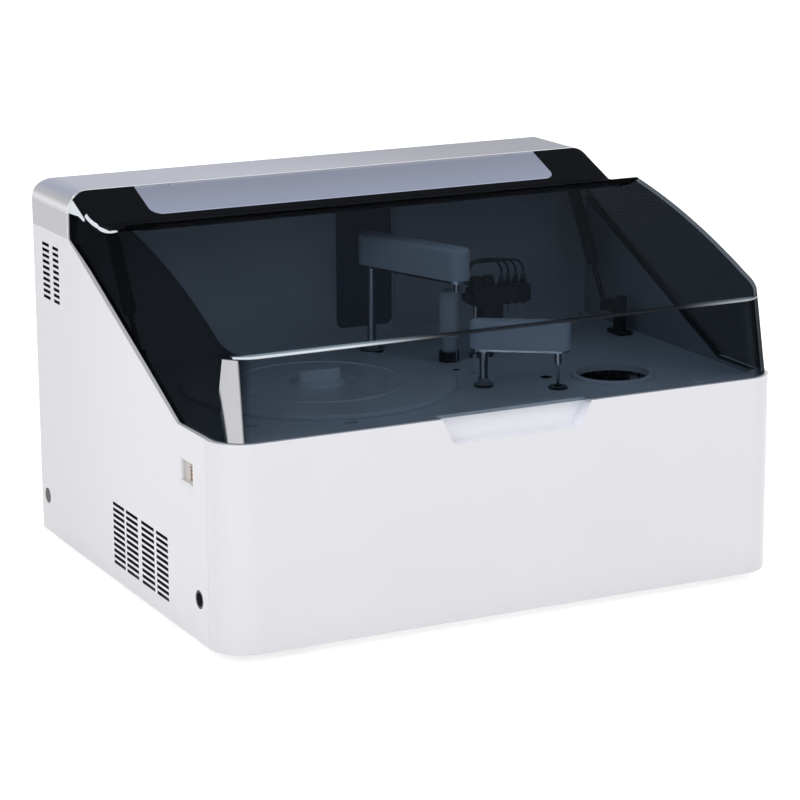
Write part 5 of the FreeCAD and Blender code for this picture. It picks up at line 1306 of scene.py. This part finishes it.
@dataclass
class Form:
    """Collects one piece's mesh in millimetres and makes its object."""

    name: str
    mesh: bmesh.types.BMesh = field(default_factory=bmesh.new)

    def block(self, box: Box, edge: float = 0.5, steps: int = 2) -> None:
        """Adds a block with rounded edges.

        Args:
            box: Its lowest and highest corner.
            edge: The radius of its edges.
            steps: The segments of each rounded edge.
        """
        corners = [(box[n & 1][0], box[n >> 1 & 1][1], box[n >> 2][2]) for n in range(8)]
        made = [self.mesh.verts.new(corner) for corner in corners]
        sides = (
            (0, 2, 3, 1), (4, 5, 7, 6), (0, 1, 5, 4), (2, 6, 7, 3), (0, 4, 6, 2), (1, 3, 7, 5),
        )
        faces = [self.mesh.faces.new([made[n] for n in side]) for side in sides]
        edges = {rim for face in faces for rim in face.edges}
        bmesh.ops.bevel(
            self.mesh, geom=[*edges], offset=edge, segments=steps, profile=0.5, affect="EDGES"
        )

    def turned(
        self, at: Point, profile: Profile, axis: Axis, sides: int = 24, rib: float = 0.0
    ) -> None:
        """Adds a turned form, closed at both ends.

        Args:
            at: The point on its axis that the profile's places are measured from.
            profile: Radius and place along the axis of each ring.
            axis: The direction of its axis.
            sides: The points of each ring.
            rib: How far two points of every four stand back on a knurled ring.
        """
        rings = []
        for radius, place in profile:
            ring = []
            for n in range(sides):
                reach = radius - (rib if n % 4 > 1 and radius > rib * 4 else 0.0)
                turn = 2.0 * math.pi * n / sides
                first, second = reach * math.cos(turn), reach * math.sin(turn)
                offset = {
                    Axis.X: (place, first, second),
                    Axis.Y: (second, place, first),
                    Axis.Z: (first, second, place),
                }[axis]
                ring.append(self.mesh.verts.new(Vector(at) + Vector(offset)))
            rings.append(ring)
        for lower, upper in zip(rings, rings[1:]):
            for n in range(sides):
                after = (n + 1) % sides
                self.mesh.faces.new((lower[n], lower[after], upper[after], upper[n]))
        self.mesh.faces.new(tuple(reversed(rings[0])))
        self.mesh.faces.new(tuple(rings[-1]))

    def frame(self, outer: Box, inner: Box) -> None:
        """Adds a flat frame across x, from four bars.

        Args:
            outer: The frame's lowest and highest corner.
            inner: The opening's lowest and highest corner.
        """
        (x0, y0, z0), (x1, y1, z1) = outer
        (_, v0, w0), (_, v1, w1) = inner
        self.block(((x0, y0, z0), (x1, y1, w0)))
        self.block(((x0, y0, w1), (x1, y1, z1)))
        self.block(((x0, y0, w0), (x1, v0, w1)))
        self.block(((x0, v1, w0), (x1, y1, w1)))

    def made(self, dresser: "Dresser", finish: Finish, body: str) -> bpy.types.Object:
        """Ends the piece: its object, finish and body.

        Args:
            dresser: What builds the finishes.
            finish: The piece's finish.
            body: The body that it moves with.

        Returns:
            The object.
        """
        bmesh.ops.recalc_face_normals(self.mesh, faces=self.mesh.faces[:])
        data = bpy.data.meshes.new(self.name)
        for vertex in self.mesh.verts:
            vertex.co *= MILLIMETRE
        self.mesh.to_mesh(data)
        self.mesh.free()
        data.materials.append(dresser.material(finish))
        data.shade_smooth()
        data.set_sharp_from_angle(angle=SHARP_ANGLE)
        piece = bpy.data.objects.new(self.name, data)
        bpy.context.scene.collection.objects.link(piece)
        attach(piece, body)
        LOG.info("%s: %s, rides on %s", self.name, finish.name, body)
        return piece


class Dresser:
    """Gives the carried-over solids their finishes, each finish built once."""

    def __init__(self, nodes: Mapping[str, bpy.types.Object]) -> None:
        """Keeps the nodes.

        Args:
            nodes: The frame's objects by name.
        """
        self.nodes = nodes
        self.made: dict[str, bpy.types.Material] = {}

    def material(self, finish: Finish) -> bpy.types.Material:
        """Builds a finish's material at its first use.

        Args:
            finish: The finish.

        Returns:
            The material.
        """
        if finish.name not in self.made:
            self.made[finish.name] = finish.dress()
        return self.made[finish.name]

    def dress(self, finish: Finish, names: Sequence[str]) -> None:
        """Puts a finish on carried-over solids.

        Args:
            finish: The finish.
            names: The nodes that get it.
        """
        material = self.material(finish)
        for name in names:
            slots = self.nodes[name].material_slots
            for slot in slots:
                slot.material = material
            LOG.info("%s: %s on %d slot(s)", name, finish.name, len(slots))


@dataclass
class Assembly:
    """A sub-assembly of carried-over solids: which finish its nodes get."""

    coats: Coats

    def dress(self, dresser: Dresser) -> None:
        """Dresses the sub-assembly's solids.

        Args:
            dresser: What builds the finishes.
        """
        for finish, names in self.coats:
            dresser.dress(finish, names)


@dataclass
class Housing(Assembly):
    """The white shell with its hood, feet and small fittings."""

    coats: Coats = (
        (WHITE_SHELL, ("front_panel", "right_side_panel", "left_side_panel", "lid_rest_tab")),
        (HOOD_SILVER, ("top_hood",)),
        (REAR_PAINT, ("rear_panel",)),
        (BRUSHED, ("chassis_tray",)),
        (HINGE_GREY, ("hinge_brackets",)),
        (FOOT_RUBBER, ("feet",)),
        (BLACK_PLASTIC, ("side_plugs",)),
    )


@dataclass
class Lid(Assembly):
    """The smoked lid with its silver plate, black band and lift struts."""

    coats: Coats = (
        (LID_TINT, ("lid_shell",)),
        (PLATE_SILVER, ("lid_top_plate",)),
        (GLOSS_BLACK, ("lid_rear_band",)),
        (BLACK_PLASTIC, ("lid_strut_lugs",)),
        (STRUT_BLACK, ("strut_rod_right", "strut_rod_left", "strut_posts")),
        (STRUT_BLACK, ("strut_cylinder_right", "strut_cylinder_left")),
    )


@dataclass
class Chamber(Assembly):
    """The working deck and the walls round it."""

    coats: Coats = (
        (DECK_PAINT, ("deck_plate", "viewing_rim")),
        (COVER_PAINT, ("rear_cover_plate",)),
        (LINER_PAINT, ("chamber_liners",)),
        (WALL_PAINT, ("inner_wall",)),
        (WINDOW_DARK, ("rear_window",)),
        (TURNED, ("deck_screws",)),
        (BLACK_PLASTIC, ("deck_wells",)),
        (COLLAR_PLASTIC, ("deck_collars",)),
        (COLUMN_PLASTIC, ("rinse_column",)),
    )


@dataclass
class Carousels(Assembly):
    """The reagent carousel under its cover, and the cuvette ring in its bowl."""

    coats: Coats = (
        (LINER_PAINT, ("reagent_tub",)),
        (BLACK_PLASTIC, ("carousel_tray", "ring_bowl", "photometer", "cuvette_ring")),
        (BOTTLE_PLASTIC, ("reagent_bottles",)),
        (COVER_PLASTIC, ("carousel_cover",)),
        (CUVETTE_PLASTIC, ("cuvettes",)),
    )


@dataclass
class Arms(Assembly):
    """The sampling arm, the stirring arm and the washing head's rods, with their lifts."""

    coats: Coats = (
        (ARM_PLASTIC, ("probe_arm_housing", "mixer_arm_housing")),
        (CHROMED, ("probe_shaft", "probe_needle", "mixer_shaft", "stirrer")),
        (CHROMED, ("guide_rods", "wash_needles")),
        (BRUSHED, ("probe_lift_block", "mixer_lift_block")),
        (BLACK_PLASTIC, ("drive_motors",)),
        (HOSE_RUBBER, ("wash_tubes",)),
    )


@dataclass
class Rear(Assembly):
    """What is on and behind the back: fan, inlets, ports, supply and board."""

    coats: Coats = (
        (BLACK_PLASTIC, ("fan_frame", "fan_wheel", "power_inlet", "power_switch_rocker")),
        (PORT_NICKEL, ("fluid_ports", "data_port")),
        (BRUSHED, ("power_supply",)),
        (BOARD_MASK, ("control_board",)),
    )


@dataclass
class Socket:
    """The data socket in the left side: frame, recessed face and contact block."""

    border: Box = ((-350.0, -205.0, 181.0), (-344.8, -168.0, 211.0))
    opening: Box = ((-350.0, -202.4, 183.6), (-344.8, -170.6, 208.4))
    face: Box = ((-346.8, -204.2, 181.8), (-343.2, -168.8, 210.2))
    face_edge: float = 0.3
    sleeve: Box = ((-349.3, -202.1, 186.4), (-345.6, -193.0, 206.6))
    sleeve_opening: Box = ((-349.3, -200.9, 187.6), (-345.6, -194.2, 205.4))
    contacts: Box = ((-348.4, -200.7, 187.8), (-345.8, -194.4, 205.2))
    contacts_edge: float = 0.4

    def dress(self, dresser: Dresser) -> None:
        """Builds the socket's pieces in place of its plain solid.

        Args:
            dresser: What builds the finishes.
        """
        frame_form = Form("socket_frame")
        frame_form.frame(self.border, self.opening)
        edge = frame_form.made(dresser, SOCKET_FRAME, "housing")
        face_form = Form("socket_face")
        face_form.block(self.face, self.face_edge)
        face_form.frame(self.sleeve, self.sleeve_opening)
        face = face_form.made(dresser, SOCKET_FACE, "housing")
        block_form = Form("socket_contacts")
        block_form.block(self.contacts, self.contacts_edge)
        block_form.made(dresser, CONTACT_BLOCK, "housing")
        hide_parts("usb_socket")
        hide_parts("usb_socket")


@dataclass
class WashHead:
    """The washing head: a crossbar on two rods, its carrier, caps, nuts and screws."""

    bar: Box = ((90.0, -18.5, 300.0), (167.0, 4.5, 321.0))
    carrier: Box = ((103.5, -16.0, 282.4), (131.0, 2.0, 301.0))
    ear: Box = ((81.0, -12.0, 306.0), (91.0, -2.0, 315.0))
    bar_edge: float = 1.6
    carrier_edge: float = 1.2
    ear_edge: float = 1.0
    rods: tuple[Span, ...] = ((98.0, -7.0), (114.0, -7.0))
    needles: tuple[Span, ...] = ((133.2, -5.5), (143.2, -4.2), (153.3, -4.1), (163.3, -4.9))
    screws: tuple[Span, ...] = ((96.0, 310.5), (138.3, 310.5), (161.0, 310.5))
    cap: Profile = ((8.6, -1.0), (8.6, 6.5), (7.4, 8.0), (7.4, 11.6), (6.4, 12.8))
    cap_sides: int = 40
    cap_rib: float = 0.45
    nut: Profile = ((4.4, -1.0), (4.4, 4.6), (3.8, 5.2), (3.0, 5.4), (3.0, 9.6), (2.8, 10.0))
    nut_sides: int = 6
    ferrule: Profile = ((3.6, -4.0), (4.2, -3.4), (4.2, 1.0))
    screw: Profile = ((2.0, -1.1), (2.7, -0.8), (2.9, 0.4))

    def dress(self, dresser: Dresser) -> None:
        """Builds the head's piece in place of its plain solid.

        Args:
            dresser: What builds the finishes.
        """
        form = Form("wash_head_block")
        form.block(self.bar, self.bar_edge, steps=3)
        form.block(self.carrier, self.carrier_edge)
        form.block(self.ear, self.ear_edge)
        (_, front, foot), (_, _, roof) = self.bar
        for x, y in self.rods:
            form.turned((x, y, roof), self.cap, Axis.Z, self.cap_sides, self.cap_rib)
        for x, y in self.needles:
            form.turned((x, y, roof), self.nut, Axis.Z, self.nut_sides)
            form.turned((x, y, foot), self.ferrule, Axis.Z)
        for x, z in self.screws:
            form.turned((x, front, z), self.screw, Axis.Y)
        piece = form.made(dresser, HEAD_PLASTIC, "wash")
        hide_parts("wash_head")


@dataclass
class RingKnob:
    """The knurled knob on the cuvette ring, seen through the deck's round opening."""

    at: Point = (175.0, -167.0, 196.0)
    skirt: Profile = ((11.8, 0.0), (11.8, 4.0), (10.6, 6.0), (9.4, 7.0))
    skirt_sides: int = 48
    grip: Profile = (
        (9.2, 6.5), (10.0, 9.0), (10.0, 33.6), (9.2, 35.2),
        (7.6, 36.0), (6.2, 35.8), (5.8, 34.6), (2.0, 34.4),
    )
    grip_sides: int = 64
    grip_rib: float = 0.5

    def dress(self, dresser: Dresser) -> None:
        """Builds the knob in place of its plain solid.

        Args:
            dresser: What builds the finishes.
        """
        form = Form("ring_knob_turned")
        form.turned(self.at, self.skirt, Axis.Z, self.skirt_sides)
        form.turned(self.at, self.grip, Axis.Z, self.grip_sides, self.grip_rib)
        piece = form.made(dresser, KNOB_BLACK, "ring")
        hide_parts("ring_knob")


@dataclass(frozen=True)
class Lamp:
    """One soft rectangular lamp: where it hangs, its width and height, and its power."""

    name: str
    at: Point
    size: Span
    power: float

    def hang(self, aim: Point) -> None:
        """Hangs the lamp, unseen in reflections.

        Args:
            aim: The point that it faces.
        """
        data = bpy.data.lights.new(self.name, "AREA")
        data.shape = "RECTANGLE"
        data.size, data.size_y = self.size
        data.energy = self.power
        lamp = bpy.data.objects.new(self.name, data)
        lamp.location = self.at
        lamp.visible_glossy = False
        way = Vector(self.at) - Vector(aim)
        lamp.rotation_euler = way.to_track_quat("Z", "Y").to_euler()
        bpy.context.scene.collection.objects.link(lamp)


@dataclass
class Studio:
    """The pale floor, the soft lamps, the white surroundings and the camera."""

    azimuth: float = -26.70
    elevation: float = 14.10
    roll: float = -0.282
    focal_pixels: float = 2874.4
    picture_pixels: float = 800.0
    sensor: float = 36.0
    clip: Span = (0.05, 60.0)
    stand: Point = (-1.4811, -2.9453, 1.0215)
    middle: Point = (0.0, 0.0, 0.2)
    lamps: tuple[Lamp, ...] = (
        Lamp("key_lamp", (-2.6, -1.6, 2.4), (1.6, 1.6), 32.0),
        Lamp("front_lamp", (0.9, -3.0, 1.9), (1.8, 1.2), 20.0),
        Lamp("back_lamp", (0.6, 2.2, 2.6), (2.4, 1.0), 26.0),
    )
    even_light: float = 0.67
    white: Colour = (1.0, 1.0, 1.0)
    floor_colour: Colour = (0.86, 0.86, 0.86)
    floor_roughness: float = 0.9
    floor_glow: float = 0.55
    floor_half: float = 12.0

    def axes(self) -> tuple[Vector, Vector, Vector]:
        """Works out which way the camera is turned.

        Returns:
            Its right, up and back directions.
        """
        azimuth, elevation, roll = map(math.radians, (self.azimuth, self.elevation, self.roll))
        level = math.cos(elevation)
        back = Vector(
            (math.sin(azimuth) * level, -math.cos(azimuth) * level, math.sin(elevation))
        )
        right = (-back).cross(Vector((0.0, 0.0, 1.0))).normalized()
        up = right.cross(-back)
        turned_right = right * math.cos(roll) + up * math.sin(roll)
        turned_up = up * math.cos(roll) - right * math.sin(roll)
        return turned_right, turned_up, back

    def camera(self) -> None:
        """Makes the camera at the photograph's viewing angle."""
        data = bpy.data.cameras.new("camera")
        data.sensor_width = self.sensor
        data.lens = self.focal_pixels / self.picture_pixels * self.sensor
        data.clip_start, data.clip_end = self.clip
        camera = bpy.data.objects.new("camera", data)
        turned = Matrix(self.axes()).transposed().to_4x4()
        camera.matrix_world = Matrix.Translation(self.stand) @ turned
        bpy.context.scene.collection.objects.link(camera)
        bpy.context.scene.camera = camera

    def seen(self, graph: Graph) -> Value:
        """Marks the rays that show the surroundings: camera, glossy or through glass.

        Args:
            graph: The tree.

        Returns:
            1 for those rays and 0 for the others.
        """
        outputs = graph.node("ShaderNodeLightPath", {}, {}).socket.node.outputs
        names = ("Is Camera Ray", "Is Glossy Ray", "Is Transmission Ray")
        camera, glossy, through = (Value(graph, outputs[name]) for name in names)
        settings = {"operation": "ADD", "use_clamp": True}
        return graph.node("ShaderNodeMath", settings, {0: camera + glossy, 1: through})

    def surroundings(self) -> None:
        """Lights the scene evenly, and shows white behind it."""
        world = bpy.data.worlds.new("surroundings")
        bpy.context.scene.world = world
        graph = Graph(world)
        strength = self.seen(graph) * (1.0 - self.even_light) + self.even_light
        inputs = {"Color": rgba(self.white), "Strength": strength}
        graph.end(graph.node("ShaderNodeBackground", {}, inputs), "ShaderNodeOutputWorld")

    def floor(self) -> None:
        """Lays the pale floor, which keeps the object's shadow."""
        mesh = bpy.data.meshes.new("floor")
        half = self.floor_half
        corners = [(-half, -half, 0.0), (half, -half, 0.0), (half, half, 0.0), (-half, half, 0.0)]
        mesh.from_pydata(corners, [], [(0, 1, 2, 3)])
        floor = bpy.data.objects.new("floor", mesh)
        bpy.context.scene.collection.objects.link(floor)
        material = bpy.data.materials.new("floor")
        graph = Graph(material)
        pale = graph.shader(
            {"Base Color": rgba(self.floor_colour), "Roughness": self.floor_roughness}
        )
        inputs = {"Color": rgba(self.white), "Strength": self.seen(graph) * self.floor_glow}
        glow = graph.node("ShaderNodeEmission", {}, inputs)
        graph.end(graph.node("ShaderNodeAddShader", {}, {0: pale, 1: glow}))
        mesh.materials.append(material)

    def build(self) -> None:
        """Sets the studio up round the object."""
        self.camera()
        self.surroundings()
        self.floor()
        for lamp in self.lamps:
            lamp.hang(self.middle)
        bpy.context.scene.view_settings.view_transform = "Standard"
        LOG.info("studio ready")


def main() -> None:
    """Sets up the studio, dresses the analyzer and builds its finer pieces."""
    logging.basicConfig(level=logging.INFO, format="%(name)s: %(message)s")
    studio = Studio()
    studio.build()
    dresser = Dresser(frame["nodes"])
    assemblies = (
        Housing(), Lid(), Chamber(), Carousels(), Arms(), Rear(), Socket(), WashHead(), RingKnob(),
    )
    for assembly in assemblies:
        assembly.dress(dresser)
        LOG.info("%s done", type(assembly).__name__)


if __name__ == "__main__":
    main()
